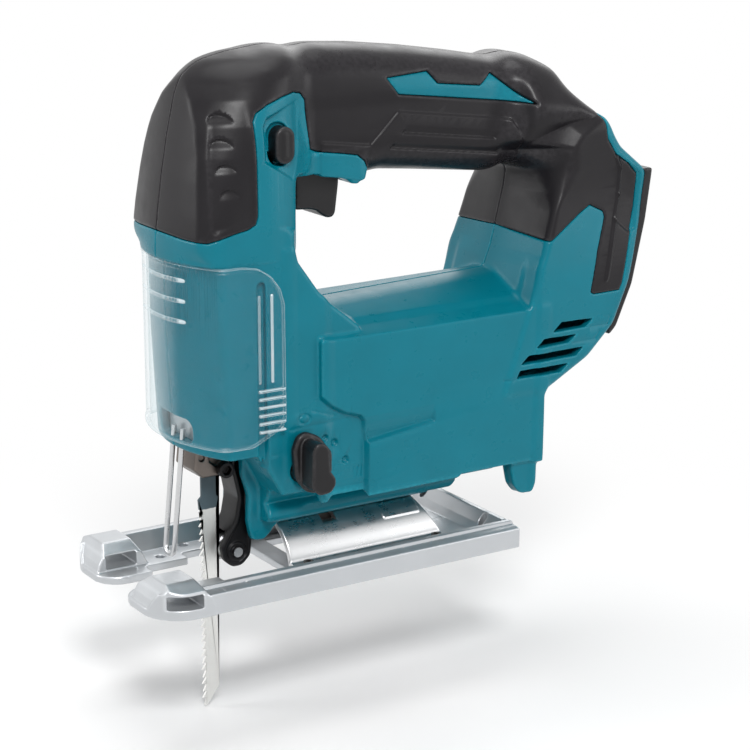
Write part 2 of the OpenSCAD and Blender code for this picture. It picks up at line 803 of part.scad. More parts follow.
module orbital_lever() {
    y1 = -body_half - seat_gap;
    color("black") {
        rod_y(5.2, lever_x, lever_z, y1 - 11.5, y1);
        rod_y(3.8, lever_x - 0.6, lever_z + 13, y1 - 11.5, y1 - 2);
        slab_y([[lever_x - 3.8, lever_z + 1], [lever_x + 3.2, lever_z + 1], [lever_x + 3.2, lever_z + 13],
            [lever_x - 4.4, lever_z + 13]], y1 - 11.5, y1 - 1);
    }
}

module orbital_cam() {
    color("silver") difference() {
        rod_y(4, lever_x, lever_z, -body_half - seat_gap, 6);
        box([lever_x - 5, -arm_half, lever_z - 5], [lever_x - 1.5, 7, lever_z + 5]);
    }
}

module trigger() {
    x0 = trigger_x[0];
    x1 = trigger_x[1];
    color("dimgray") slab_y([[x0, 147], [x0, 131], [x0 + 6, 130.6], [x1 - 9, 129.9], [x1 - 7, 128.3],
        [x1 - 4.7, 127], [x1 - 2.7, 127], [x1 - 1.7, 128.3], [x1 - 0.2, 139], [x1, 147]],
        -trigger_w / 2, trigger_w / 2);
}

// spring wire as a tube along a helix
spring_turns = 3.5;
spring_r = 3;
function helix(t) = [
    (trigger_x[0] + trigger_x[1]) / 2 + spring_r * cos(t * 360 * spring_turns),
    spring_r * sin(t * 360 * spring_turns),
    147.4 + t * (switch_box[0][2] - 147.9)
];
module trigger_spring() {
    steps = 56;
    sides = 6;
    pts = [for (i = [0:steps]) let (p = helix(i / steps), a = i / steps * 360 * spring_turns)
        for (k = [0:sides - 1]) p + 0.35 * (cos(k * 60) * [cos(a), sin(a), 0] + sin(k * 60) * [0, 0, 1])];
    side_faces = [for (i = [0:steps - 1]) for (k = [0:sides - 1]) let (a = i * sides + k, b = i * sides + (k + 1) % sides)
        each [[a, a + sides, b], [b, a + sides, b + sides]]];
    caps = [[for (k = [0:sides - 1]) k], [for (k = [sides - 1:-1:0]) steps * sides + k]];
    color("silver") polyhedron(pts, concat(side_faces, caps));
}

module switch_unit() { color("black") box(switch_box[0], switch_box[1]); }

module lock_off_button() {
    y0 = -head_half + 0.2;
    y1 = head_half - 0.2 - lock_travel;
    color("black") {
        for (z = [-2.6, 2.6]) rod_y(3.8, lock_x, lock_z + z, y0, y1);
        box([lock_x - 3.8, y0, lock_z - 2.6], [lock_x + 3.8, y1, lock_z + 2.6]);
    }
}

module control_board() {
    color("green") {
        box([78, -16, 98], [79.6, 16, 138]);
        box([79.6, -10, 104], [86, 10, 112]);
        box([79.6, -12, 118], [84, 4, 130]);
    }
}

// ---------- clear cover ----------

cover_side = [
    [-79.6, cover_low], [-60, cover_low - 1], [cover_back - 1, cover_low + 6], [cover_back, cover_low + 9],
    [cover_back, cover_top - 10], [cover_back - 3, cover_top - 4], [cover_back - 9, cover_top - 1],
    [-66, cover_top], [cover_front, cover_top], [cover_front, cover_low + 30]
];

module dust_cover() {
    outer = cover_in + cover_t;
    centre = cover_front + head_front_r + 2.5;
    color([0.8, 0.95, 1, 0.5]) {
        difference() {
            intersection() {
                slab_y(cover_side, -outer, outer);
                translate([centre, 0, 20]) cylinder(r = centre - cover_front, h = 120);
            }
            intersection() {
                box([-78, -cover_in, 20], [0, cover_in, 150]);
                translate([centre, 0, 20]) cylinder(r = centre - cover_front - cover_t, h = 120);
            }
            intersection() {
                box([cover_front - 1, -cover_in, cover_low + 26], [0, cover_in, 150]);
                translate([centre, 0, 20]) cylinder(r = centre - cover_front - cover_t, h = 120);
            }
        }
        mirror_y() box([groove_x - groove_w / 2 + 0.5, head_half - 1.8, cover_top - 18],
            [groove_x + groove_w / 2 - 0.5, cover_in + 0.3, cover_top - 10]);
    }
}

sole_plate();
tilt_bracket();
bracket_screws();
bevel_bolt();
bevel_clamp_shoe();
bevel_nut();
housing_left();
housing_right();
grip_left();
grip_right();
housing_screws();
battery_frame();
terminal_block();
terminal_blades();
gear_case();
upper_bush();
lower_bush();
dust_seal();
wire_guard();
motor_can();
motor_magnets();
motor_end_bell();
front_bearing();
rear_bearing();
carbon_brushes();
gear_spindle();
arm_pivot_pin();
switch_unit();
control_board();
motor_shaft();
rotor_core();
commutator();
cooling_fan();
pinion();
drive_gear();
crank_pin();
plunger_rod();
plunger_yoke();
blade_clamp();
clamp_screw();
blade();
roller_arm();
roller_pin();
roller();
orbital_lever();
orbital_cam();
trigger();
trigger_spring();
lock_off_button();
dust_cover();
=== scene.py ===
"""Looks of the cordless jigsaw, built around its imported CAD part.

Each moulded or cast piece is worked out as a field of signed distances on a grid, in millimetres, and then
turned into a mesh. X runs to the battery seat, Y across the tool and Z up, as in the CAD part.
"""
import json
import math

import bmesh
import bpy
import numpy as np
from mathutils import Matrix, Vector

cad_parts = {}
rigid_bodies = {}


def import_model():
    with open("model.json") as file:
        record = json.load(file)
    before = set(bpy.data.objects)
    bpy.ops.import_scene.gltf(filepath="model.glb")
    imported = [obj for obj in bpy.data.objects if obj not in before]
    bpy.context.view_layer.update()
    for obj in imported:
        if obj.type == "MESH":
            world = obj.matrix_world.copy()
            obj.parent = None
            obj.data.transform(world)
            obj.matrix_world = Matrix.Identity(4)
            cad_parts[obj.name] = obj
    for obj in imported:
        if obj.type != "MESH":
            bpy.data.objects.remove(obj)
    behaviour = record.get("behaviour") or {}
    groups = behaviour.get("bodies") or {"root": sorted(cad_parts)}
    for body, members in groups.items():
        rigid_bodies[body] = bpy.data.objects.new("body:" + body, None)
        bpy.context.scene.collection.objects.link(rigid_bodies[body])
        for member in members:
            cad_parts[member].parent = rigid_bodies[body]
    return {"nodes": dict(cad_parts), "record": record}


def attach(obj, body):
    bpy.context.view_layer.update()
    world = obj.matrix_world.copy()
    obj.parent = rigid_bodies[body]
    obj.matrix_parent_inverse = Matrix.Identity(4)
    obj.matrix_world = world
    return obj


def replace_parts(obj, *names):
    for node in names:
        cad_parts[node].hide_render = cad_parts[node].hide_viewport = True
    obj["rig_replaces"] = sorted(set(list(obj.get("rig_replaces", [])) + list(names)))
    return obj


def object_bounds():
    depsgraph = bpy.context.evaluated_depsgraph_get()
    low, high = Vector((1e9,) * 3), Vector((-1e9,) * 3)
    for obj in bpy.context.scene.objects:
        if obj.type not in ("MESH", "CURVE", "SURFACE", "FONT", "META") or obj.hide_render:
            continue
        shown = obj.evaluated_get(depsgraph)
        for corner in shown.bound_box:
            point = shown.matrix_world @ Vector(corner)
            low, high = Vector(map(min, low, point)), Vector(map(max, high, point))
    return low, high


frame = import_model()
CAD_BOX = [list(corner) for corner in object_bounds()]
MM = 0.001
STEP = 0.45      # grid step of the housing
FINE = 0.3       # grid step of small pieces


# ---------- camera ----------

CAMERA_AT = Vector((-412.2, -662.7, 278.5)) * MM
AZIMUTH, ELEVATION = math.radians(-32.4), math.radians(15.3)
camera = bpy.data.objects.new("camera", bpy.data.cameras.new("camera"))
camera.location = CAMERA_AT
level = math.cos(ELEVATION)
back = Vector((math.sin(AZIMUTH) * level, -math.cos(AZIMUTH) * level, math.sin(ELEVATION)))
camera.rotation_euler = back.to_track_quat("Z", "Y").to_euler()
camera.data.lens, camera.data.sensor_width = 105.6, 36
camera.data.clip_end = 20
bpy.context.collection.objects.link(camera)
bpy.context.scene.camera = camera


# ---------- fields ----------

class Grid:
    """Sample points of a block from lo to hi, in millimetres."""

    def __init__(self, lo, hi, step):
        self.lo, self.step = np.array(lo, float), step
        sizes = [int(math.ceil((b - a) / step)) + 1 for a, b in zip(lo, hi)]
        axes = [(a + step * np.arange(n)).astype(np.float32) for a, n in zip(lo, sizes)]
        self.x, self.y, self.z = axes[0][:, None, None], axes[1][None, :, None], axes[2][None, None, :]


def smax(a, b, k):
    """The larger of a and b, with the corner rounded over about k."""
    h = np.maximum(k - np.abs(a - b), 0) / k
    return np.maximum(a, b) + h * h * (k * 0.25)


def smin(a, b, k):
    return -smax(-a, -b, k)


def outline(p, q, points):
    """Signed distance from (p, q) to a closed outline, negative inside."""
    p, q = np.broadcast_arrays(p, q)
    nearest = np.full(p.shape, 1e9, np.float32)
    inside = np.zeros(p.shape, bool)
    for (ax, ay), (bx, by) in zip(points, points[1:] + points[:1]):
        ex, ey = bx - ax, by - ay
        t = np.clip(((p - ax) * ex + (q - ay) * ey) / (ex * ex + ey * ey), 0, 1)
        nearest = np.minimum(nearest, np.hypot(p - ax - t * ex, q - ay - t * ey))
        if ey:
            inside ^= ((ay > q) != (by > q)) & (p < ax + (q - ay) * ex / ey)
    return np.where(inside, -nearest, nearest).astype(np.float32)


def soften(field, cells):
    """A field in two directions, blurred over about that many cells, which rounds its corners."""
    reach = 3 * cells
    kernel = np.exp(-0.5 * (np.arange(-reach, reach + 1) / cells) ** 2)
    kernel /= kernel.sum()
    for axis in (i for i, n in enumerate(field.shape) if n > 1):
        padding = [(reach, reach) if i == axis else (0, 0) for i in range(field.ndim)]
        padded = np.pad(field, padding, "edge")
        windows = [np.take(padded, np.arange(i, i + field.shape[axis]), axis) for i in range(len(kernel))]
        field = sum(w * part for w, part in zip(kernel, windows))
    return field.astype(np.float32)


def segment(p, q, a, b):
    """Distance from (p, q) to the line from a to b."""
    ex, ey = b[0] - a[0], b[1] - a[1]
    t = np.clip(((p - a[0]) * ex + (q - a[1]) * ey) / (ex * ex + ey * ey), 0, 1)
    return np.hypot(p - a[0] - t * ex, q - a[1] - t * ey)


def block(p, half, r):
    """Distance to a rounded rectangle or box: p are the distances from its centre along each axis."""
    d = [np.abs(v) - (h - r) for v, h in zip(p, half)]
    out = np.sqrt(sum(np.maximum(v, 0) ** 2 for v in d))
    most = d[0]
    for v in d[1:]:
        most = np.maximum(most, v)
    return out + np.minimum(most, 0) - r


def ramp(v, a, b):
    """0 at a, 1 at b and smooth between."""
    t = np.clip((v - a) / (b - a), 0, 1)
    return t * t * (3 - 2 * t)


# ---------- meshes ----------

def sample(field, grid, points):
    """The field's value at points, by linear steps between the samples."""
    p = (points - grid.lo) / grid.step
    top = np.array(field.shape) - 2
    i = np.clip(np.floor(p).astype(int), 0, top)
    f = np.clip(p - i, 0, 1)
    total = 0
    for dx in (0, 1):
        for dy in (0, 1):
            for dz in (0, 1):
                corner = np.array((dx, dy, dz))
                w = np.where(corner, f, 1 - f)
                total = total + w[:, 0] * w[:, 1] * w[:, 2] * field[tuple((i + corner).T)]
    return total


def gradient(field, grid, points, reach=0.7):
    out = np.empty_like(points)
    for axis in range(3):
        d = np.zeros(3)
        d[axis] = reach * grid.step
        out[:, axis] = sample(field, grid, points + d) - sample(field, grid, points - d)
    return out / (2 * reach * grid.step)


def net(field, grid):
    """Vertices and quads of the surface where the field is zero."""
    inside = field < 0
    nx, ny, nz = (n - 1 for n in field.shape)
    count = np.zeros((nx, ny, nz), np.int8)
    for dx in (0, 1):
        for dy in (0, 1):
            for dz in (0, 1):
                count += inside[dx:dx + nx, dy:dy + ny, dz:dz + nz]
    cells = np.argwhere((count > 0) & (count < 8))
    index = np.full((nx, ny, nz), -1, np.int32)
    index[tuple(cells.T)] = np.arange(len(cells))
    corners = [(a, b, c) for a in (0, 1) for b in (0, 1) for c in (0, 1)]
    value = {c: field[tuple((cells + c).T)] for c in corners}
    total, hits = np.zeros((len(cells), 3)), np.zeros(len(cells))
    for c in corners:
        for axis in range(3):
            if c[axis]:
                continue
            e = tuple(1 if i == axis else v for i, v in enumerate(c))
            a, b = value[c], value[e]
            cut = (a < 0) != (b < 0)
            t = np.where(cut, a / np.where(cut, a - b, 1), 0)
            place = np.array(c, float) + np.outer(t, np.eye(3)[axis])
            total += place * cut[:, None]
            hits += cut
    points = grid.lo + grid.step * (cells + total / hits[:, None])
    quads = []
    for axis in range(3):
        u, v = (axis + 1) % 3, (axis + 2) % 3
        low = [slice(None)] * 3
        high = [slice(None)] * 3
        low[axis], high[axis] = slice(0, -1), slice(1, None)
        flips = np.argwhere(inside[tuple(low)] != inside[tuple(high)])
        for side in (u, v):
            flips = flips[(flips[:, side] > 0) & (flips[:, side] < field.shape[side] - 1)]
        out = inside[tuple(flips.T)]
        ring = []
        for du, dv in ((1, 1), (0, 1), (0, 0), (1, 0)):
            c = flips.copy()
            c[:, u] -= du
            c[:, v] -= dv
            ring.append(index[tuple(c.T)])
        ring = np.stack(ring, 1)
        quads.append(np.where(out[:, None], ring, ring[:, ::-1]))
    quads = np.concatenate(quads)
    return points, quads[(quads >= 0).all(1)]


def mesh_object(name, points, faces, body):
    mesh = bpy.data.meshes.new(name)
    mesh.from_pydata((points * MM).tolist(), [], faces.tolist())
    obj = bpy.data.objects.new(name, mesh)
    bpy.context.collection.objects.link(obj)
    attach(obj, body)
    return obj


def from_field(name, field, grid, body, keep=0.35, mirror=False):
    """A mesh piece from a field: drawn onto the surface, thinned, and shaded with the field's own normals."""
    points, quads = net(field, grid)
    for _ in range(2):
        g = gradient(field, grid, points)
        push = sample(field, grid, points)[:, None] * g / np.maximum((g * g).sum(1), 0.05)[:, None]
        points = points - np.clip(push, -0.4 * grid.step, 0.4 * grid.step)
    obj = mesh_object(name, points, quads, body)
    if keep < 1:
        thin = obj.modifiers.new("thin", "DECIMATE")
        thin.ratio = keep
        bpy.context.view_layer.objects.active = obj
        obj.select_set(True)
        bpy.ops.object.modifier_apply(modifier="thin")
        obj.select_set(False)
    mesh = obj.data
    places = np.empty(len(mesh.vertices) * 3)
    mesh.vertices.foreach_get("co", places)
    places = places.reshape(-1, 3) / MM
    slope = gradient(field, grid, places)
    off = sample(field, grid, places)[:, None] * slope / np.maximum((slope * slope).sum(1), 0.3)[:, None]
    places -= np.clip(off, -0.2 * grid.step, 0.2 * grid.step)
    normals = gradient(field, grid, places, 1.1)
    normals /= np.maximum(np.linalg.norm(normals, axis=1), 1e-9)[:, None]
    if mirror:
        places[:, 1] *= -1
        normals[:, 1] *= -1
        mesh.flip_normals()
    mesh.vertices.foreach_set("co", (places * MM).ravel())
    # edge is 1 on convex edges; the plastics and metals paint those edges lighter, partly as wear and partly
    # as a painted highlight
    depth = sample(field, grid, (places - normals * 0.7) * (1, -1 if mirror else 1, 1))
    edge = mesh.attributes.new("edge", "FLOAT", "POINT")
    edge.data.foreach_set("value", np.clip((depth + 0.7) / 0.3 - 0.3, 0, 1).astype(np.float32))
    mesh.shade_smooth()
    mesh.normals_split_custom_set_from_vertices(normals)
    mesh.update()
    return obj


# ---------- materials ----------

class Nodes:
    """Short hand for building a node tree."""

    def __init__(self, name):
        self.material = bpy.data.materials.new(name)
        self.material.use_nodes = True
        self.tree = self.material.node_tree
        self.shader = self.tree.nodes["Principled BSDF"]
        self.place = self.tree.nodes.new("ShaderNodeTexCoord").outputs["Object"]

    def node(self, kind, **settings):
        made = self.tree.nodes.new("ShaderNode" + kind)
        for key, value in settings.items():
            setattr(made, key, value)
        return made

    def link(self, out, into):
        self.tree.links.new(out, into)

    def noise(self, size, detail=2.0, stretch=(1, 1, 1), distortion=0.0):
        """Noise whose features are about size millimetres across."""
        place = self.place
        if stretch != (1, 1, 1):
            mapping = self.node("Mapping")
            mapping.inputs["Scale"].default_value = stretch
            self.link(place, mapping.inputs["Vector"])
            place = mapping.outputs["Vector"]
        made = self.node("TexNoise")
        made.inputs["Scale"].default_value = 1000 / size
        made.inputs["Detail"].default_value = detail
        made.inputs["Distortion"].default_value = distortion
        self.link(place, made.inputs["Vector"])
        return made.outputs["Fac"]

    def span(self, value, lo, hi, to_lo, to_hi):
        made = self.node("MapRange", clamp=True)
        for i, v in enumerate((lo, hi, to_lo, to_hi)):
            made.inputs[i + 1].default_value = v
        self.link(value, made.inputs[0])
        return made.outputs[0]

    def math(self, operation, a, b):
        made = self.node("Math", operation=operation)
        for i, v in enumerate((a, b)):
            if isinstance(v, (int, float)):
                made.inputs[i].default_value = v
            else:
                self.link(v, made.inputs[i])
        return made.outputs[0]

    def mix(self, factor, a, b):
        made = self.node("Mix", data_type="RGBA")
        for socket, v in ((made.inputs[0], factor), (made.inputs[6], a), (made.inputs[7], b)):
            if isinstance(v, tuple):
                socket.default_value = (*v, 1) if len(v) == 3 else v
            elif isinstance(v, (int, float)):
                socket.default_value = v
            else:
                self.link(v, socket)
        return made.outputs[2]

    def bump(self, height, depth, normal=None):
        """Bump of depth millimetres."""
        made = self.node("Bump")
        made.inputs["Distance"].default_value = depth * MM
        self.link(height, made.inputs["Height"])
        if normal:
            self.link(normal, made.inputs["Normal"])
        return made.outputs["Normal"]


def linear(r, g, b):
    """A colour written as it shows on a screen, 0 to 255."""
    return tuple((v / 255 / 12.92) if v <= 10 else ((v / 255 + 0.055) / 1.055) ** 2.4 for v in (r, g, b))


def moulded(name, colour, rough, grain, depth, edge_wear_and_highlight, mottle=0.05):
    """Moulded plastic or rubber: spark-eroded grain, slight clouding, and edges painted lighter, partly as
    rubbed wear and partly as a painted highlight along them.
    """
    n = Nodes(name)
    cloud = n.noise(18, 3)
    darker, lighter = (tuple(c * factor for c in colour) for factor in (1 - mottle, 1 + mottle))
    base = n.mix(n.span(cloud, 0.3, 0.7, 0, 1), darker, lighter)
    edge = n.node("Attribute", attribute_name="edge").outputs["Fac"]
    # convex edges painted lighter: partly rubbed wear, partly a painted highlight along the edges
    rub_and_highlight = n.math("MULTIPLY", edge, n.span(n.noise(1.6, 4), 0.35, 0.65, 0.25, 1))
    n.link(n.mix(rub_and_highlight, base, edge_wear_and_highlight), n.shader.inputs["Base Color"])
    fine = n.noise(grain, 1.5)
    wear = n.span(n.noise(6, 4), 0.3, 0.75, rough - 0.04, rough + 0.06)
    n.link(n.math("SUBTRACT", wear, n.math("MULTIPLY", edge, 0.12)), n.shader.inputs["Roughness"])
    n.link(n.bump(fine, depth, n.bump(n.noise(9, 2), 0.05)), n.shader.inputs["Normal"])
    return n


def metal(name, colour, rough, stretch=(1, 1, 1), grain=0.5, depth=0.02, stain=0.08, metallic=1.0,
          spread=0.08):
    """Bare metal: brushed or cast grain, faint staining, a roughness that varies, and edges painted lighter,
    partly as rubbed wear and partly as a painted highlight.
    """
    n = Nodes(name)
    n.shader.inputs["Metallic"].default_value = metallic
    cloud = n.noise(11, 4)
    darker = tuple(c * (1 - stain) for c in colour)
    lighter = tuple(min(1, c * (1 + stain)) for c in colour)
    edge = n.node("Attribute", attribute_name="edge").outputs["Fac"]
    base = n.mix(n.span(cloud, 0.3, 0.7, 0, 1), darker, lighter)
    # convex edges painted lighter: partly rubbed wear, partly a painted highlight along the edges
    rubbed_and_highlight = tuple(min(1, c * 1.25) for c in colour)
    n.link(n.mix(n.math("MULTIPLY", edge, 0.5), base, rubbed_and_highlight), n.shader.inputs["Base Color"])
    fine = n.noise(grain, 3, stretch)
    grainy = n.span(fine, 0.3, 0.7, rough - spread / 2, rough + spread / 2)
    smears = n.span(n.noise(5, 5), 0.35, 0.7, -0.03, 0.05)
    n.link(n.math("ADD", grainy, smears), n.shader.inputs["Roughness"])
    n.link(n.bump(fine, depth), n.shader.inputs["Normal"])
    return n


def clear(name):
    """Clear polycarbonate: thin, so what is behind it shows straight through, with light scuffs."""
    n = Nodes(name)
    n.shader.inputs["IOR"].default_value = 1.5
    scuff = n.span(n.noise(7, 4), 0.5, 0.75, 0, 1)
    n.link(n.mix(scuff, (0.7, 0.8, 0.83), (0.85, 0.9, 0.92)), n.shader.inputs["Base Color"])
    n.link(n.math("ADD", n.math("MULTIPLY", scuff, 0.05), 0.05), n.shader.inputs["Roughness"])
    n.link(n.bump(n.noise(9, 2), 0.02), n.shader.inputs["Normal"])
    facing = n.node("LayerWeight").outputs["Facing"]
    edge = n.span(n.node("Attribute", attribute_name="edge").outputs["Fac"], 0.35, 0.9, 0.0, 0.7)
    rims = n.math("ADD", edge, n.math("MULTIPLY", scuff, 0.004))
    solid = n.math("ADD", n.span(facing, 0.4, 1.0, 0.015, 0.5), rims)
    see = n.node("BsdfTransparent")
    see.inputs["Color"].default_value = (0.97, 0.99, 0.995, 1)
    both = n.node("MixShader")
    n.link(n.math("MINIMUM", solid, 0.85), both.inputs[0])
    n.link(see.outputs[0], both.inputs[1])
    n.link(n.shader.outputs[0], both.inputs[2])
    n.link(both.outputs[0], n.tree.nodes["Material Output"].inputs["Surface"])
    return n


def two_part_blade(n, height):
    """Dark paint on the blade's shank, above a height in millimetres."""
    split = n.node("SeparateXYZ")
    n.link(n.place, split.inputs[0])
    up = n.math("MULTIPLY", split.outputs["Z"], 1000)
    ragged = n.math("ADD", up, n.math("MULTIPLY", n.noise(1.2, 3), 0.5))
    paint = n.span(ragged, height, height + 0.3, 0, 1)
    for name, value in (("Base Color", linear(66, 84, 92)), ("Roughness", 0.45), ("Metallic", 0.0)):
        socket = n.shader.inputs[name]
        if name == "Base Color":
            bare = socket.links[0].from_socket
            n.link(n.mix(paint, bare, value), socket)
        elif name == "Roughness":
            bare = socket.links[0].from_socket
            n.link(n.math("ADD", n.math("MULTIPLY", paint, value - 0.3), bare), socket)
        else:
            n.link(n.math("SUBTRACT", 0.85, n.math("MULTIPLY", paint, 0.85)), socket)
    return n


SHANK_PAINT_FROM = 24.8      # height where the dark paint on the blade begins, in millimetres

MATERIALS = {
    # the last colour of each moulded material is its edge colour, lighter than the base: partly rubbed wear,
    # partly painted highlight
    "teal_plastic": moulded("teal_plastic", linear(0, 111, 128), 0.3, 0.35, 0.008, linear(24, 134, 152)),
    "grip_rubber": moulded("grip_rubber", linear(25, 23, 26), 0.33, 0.45, 0.012, linear(58, 56, 59), 0.1),
    "black_plastic": moulded("black_plastic", linear(20, 19, 21), 0.38, 0.4, 0.01, linear(66, 64, 66), 0.08),
    "board_green": moulded("board_green", linear(22, 84, 48), 0.4, 0.6, 0.01, linear(70, 120, 80)),
    "cast_aluminium": metal(
        "cast_aluminium", linear(190, 193, 196), 0.32, grain=1.6, depth=0.003, stain=0.02, metallic=0.7,
        spread=0.03),
    "bright_steel": metal(
        "bright_steel", linear(204, 205, 206), 0.3, (0.2, 1, 1), grain=0.5, depth=0.003, stain=0.02,
        spread=0.05),
    "dark_steel": metal("dark_steel", linear(112, 105, 100), 0.38, (1, 1, 1), 0.6, 0.012, 0.14),
    "black_steel": metal("black_steel", linear(20, 20, 22), 0.34, (1, 1, 1), 0.5, 0.008, 0.12, 0.6),
    "blade_steel": two_part_blade(
        metal("blade_steel", linear(226, 226, 223), 0.36, (1, 1, 0.08), 0.35, 0.004, 0.03), SHANK_PAINT_FROM),
    "bronze": metal("bronze", linear(178, 132, 84), 0.34, (1, 1, 1), 0.4, 0.01),
    "copper": metal("copper", linear(200, 118, 86), 0.3, (0.15, 1, 1), 0.4, 0.008),
    "rotor_iron": metal("rotor_iron", linear(120, 121, 124), 0.42, (4, 1, 1), 0.5, 0.02),
    "magnet": metal("magnet", linear(96, 96, 100), 0.4, (1, 1, 1), 0.5, 0.01),
    "clear_plastic": clear("clear_plastic"),
}


for fine, level in (("teal_plastic", 0.22), ("grip_rubber", 0.22), ("black_plastic", 0.3)):
    MATERIALS[fine].shader.inputs["Specular IOR Level"].default_value = level


def finish(obj, slot):
    """Gives a piece the material of one of the record's slots."""
    obj.data.materials.clear()
    obj.data.materials.append(MATERIALS[slot].material)
    return obj


# ---------- housing ----------

HEAD_TOP = [
    (-84, 118.3), (-84, 172), (-72, 179.6), (-66, 183.2), (-61.7, 185), (-51.3, 187.3), (-41, 188.2),
    (-34, 187.5), (-31, 182), (-31, 146), (-38.4, 145.6), (-38.4, 118.3),
]
HEAD_LOW = [(-83, 50), (-38, 50), (-38, 130), (-83, 130)]
HANDLE = [
    (-36, 143), (-2, 141.4), (4, 142.2), (16, 141), (52, 137), (66, 142), (74, 172), (61, 177.6),
    (40, 181.4), (19, 184.6), (-2, 187), (-20, 188.1), (-30, 187), (-38, 184.5), (-46, 180),
]
WEB = [
    (-46.2, 40), (-14, 40), (-14, 91.5), (-19.4, 96), (-31.3, 105.6), (-39.4, 116.9), (-41.2, 122),
    (-46.2, 122),
]
CORE = [(-32.3, 25.4), (27, 26.7), (28.5, 29), (65, 28.6), (65, 104), (-32.3, 104)]
FRONT_LOW = [(-56, 50), (-47, 34), (-12, 34), (-12, 64), (-56, 62)]
REAR = [
    (44, 56), (65, 56), (85.5, 66.3), (97.6, 77.4), (104.4, 92.6), (109.8, 116.4), (112.4, 134.8),
    (106.4, 139.4), (99.6, 144.6), (96.3, 149.2), (93, 155.6), (87, 159.8), (81, 164.9), (75, 170.3),
    (66, 175.4), (58, 150), (56, 119), (44, 90),
]
REAR_CREASE = [
    (91.5, 158), (88.5, 154.9), (80.8, 150), (75.9, 143.8), (72.1, 134.9), (66.7, 115), (59, 94), (53, 78),
    (44, 50),
]
GRIP_ZONE = [
    (-95, 128.2), (-80.5, 128.2), (-78.4, 127.3), (-74, 127), (-71.5, 127.7), (-65, 129.4), (-59.5, 130.4),
    (-56.4, 131.9), (-55.5, 134.8), (-55.7, 166.2), (-54.1, 168.8), (-49.1, 171.3), (-42.4, 173.3),
    (-36.9, 174.2), (-33.2, 173.4), (-31.2, 171), (-30.6, 165.3), (-28.7, 153.6), (-25.6, 152.3),
    (-15.2, 150.8), (-9.2, 149.7), (-6, 147.2), (-4.2, 144), (-9.5, 130), (48, 130), (48, 102), (61, 102),
    (65.4, 112.2), (80.1, 121.8), (84.7, 124.3), (91, 121.3), (91.7, 119.1), (88.1, 106.6), (85.2, 91.3),
    (86.7, 90.4), (99.4, 90.4), (100.7, 93.2), (104, 110.4), (106.8, 121.6), (107.8, 130.2), (108, 133.8),
    (103.7, 138), (96.8, 142.4), (92.6, 148.2), (91.4, 154), (88.8, 159.4), (86, 164), (85, 200),
    (-95, 200),
]
STRIPE = [(2.9, 175.8), (20.4, 176.9), (24.4, 172.4), (42.9, 170.3), (48.4, 174.3), (62.5, 163), (7.8, 169.8)]
FOOT = [
    (51.3, 27), (52.8, 20), (55.6, 16.4), (58.6, 15.4), (61.8, 16.2), (63.4, 20), (63.6, 27.9), (65, 33.1),
    (65, 60), (51.3, 60),
]
LOBE = [
    (-54, 46), (-53.5, 38), (-51, 30), (-51.5, 20), (-50, 13), (-45, 12.4), (-41.5, 15.5), (-40.3, 18),
    (-40.3, 46),
]
AHEAD = [
    (-60, 68.2), (-32.2, 68.2), (-27.6, 64.2), (-22.7, 61.3), (-16.1, 59.2), (-14.4, 57), (-13, 49.2),
    (-12.6, 20), (-60, 20),
]
LONG_RECESS = [(-14.6, 58), (15.4, 58.2), (15.4, 52.4), (-12.6, 48.8)]
HEAD_PANEL = [
    (-72.6, 131.4), (-71.4, 130.6), (-58.4, 133.6), (-57, 135.6), (-57.3, 172), (-62, 180), (-68.6, 168),
    (-71.2, 155),
]
HANDLE_RAISED = [
    (-24.2, 155.6), (-3.9, 152.9), (7.4, 163.8), (54.7, 157.6), (59, 148.3), (61, 141), (61, 130),
    (-24, 130),
]
HANDLE_SLOTS = [[
    (9.1, 156), (48.9, 150.8), (50, 153.4), (11.8, 158.6),
], [
    (4.4, 150.9), (51.3, 144.8), (52, 148), (7, 153.6),
]]
BUTTON_PANEL = [
    (-52.3, 152.7), (-52, 164.4), (-50.2, 166.9), (-39.7, 170.4), (-36, 171.2), (-34.6, 169), (-38.6, 149),
    (-40.3, 145.4),
]
WINDOW_RIDGE = [(97.4, 141), (99, 137), (98.6, 127), (96.8, 117.8), (92.4, 95.2)]
WINDOW = [(96.2, 142.4), (109.2, 134.2), (106.2, 113), (103, 112.2), (96.9, 117.4), (98.9, 128), (99.2, 137)]
VENTS = [
    [
        (67.7, 78.3), (71.7, 81.7), (86.9, 81.1), (83.5, 78.3),
    ], [
        (60.1, 73.3), (63.1, 76.4), (79.1, 76), (75.3, 73.4),
    ],
    [
        (53, 67.9), (56.6, 70.9), (82.7, 70.7), (79.3, 67.8),
    ], [
        (51.2, 62.9), (52.7, 65.7), (75.6, 65.3), (72, 62.5),
    ],
]
VENT_LINES = [[
    (85.4, 78.2), (94.4, 78.2), (95.3, 81),
], [
    (77.2, 73.2), (88.4, 73.3), (90.2, 75.8),
], [
    (45.7, 62.8), (51.2, 62.9),
]]
SCREWS = [(-66, 152), (-50, 134), (-34, 180), (24, 162), (60, 158), (-26, 41), (46, 42), (62, 84)]
WALL, SKIN = 3.6, 2.4
SEAT_AT, SEAT_TILT = (112.4, 134.5), math.radians(5.6)
BUTTON = (-44.5, 157.7)
LEVER = (-40, 42.6)
HEAD_R, HEAD_HALF, BODY_HALF, HANDLE_HALF, REAR_HALF = 51, 27.8, 30.5, 17, 28

record = frame["record"]


def stadium(p, q, half_length, r):
    """Distance to a slot that runs along q."""
    return np.hypot(p, np.maximum(np.abs(q) - half_length, 0)) - r


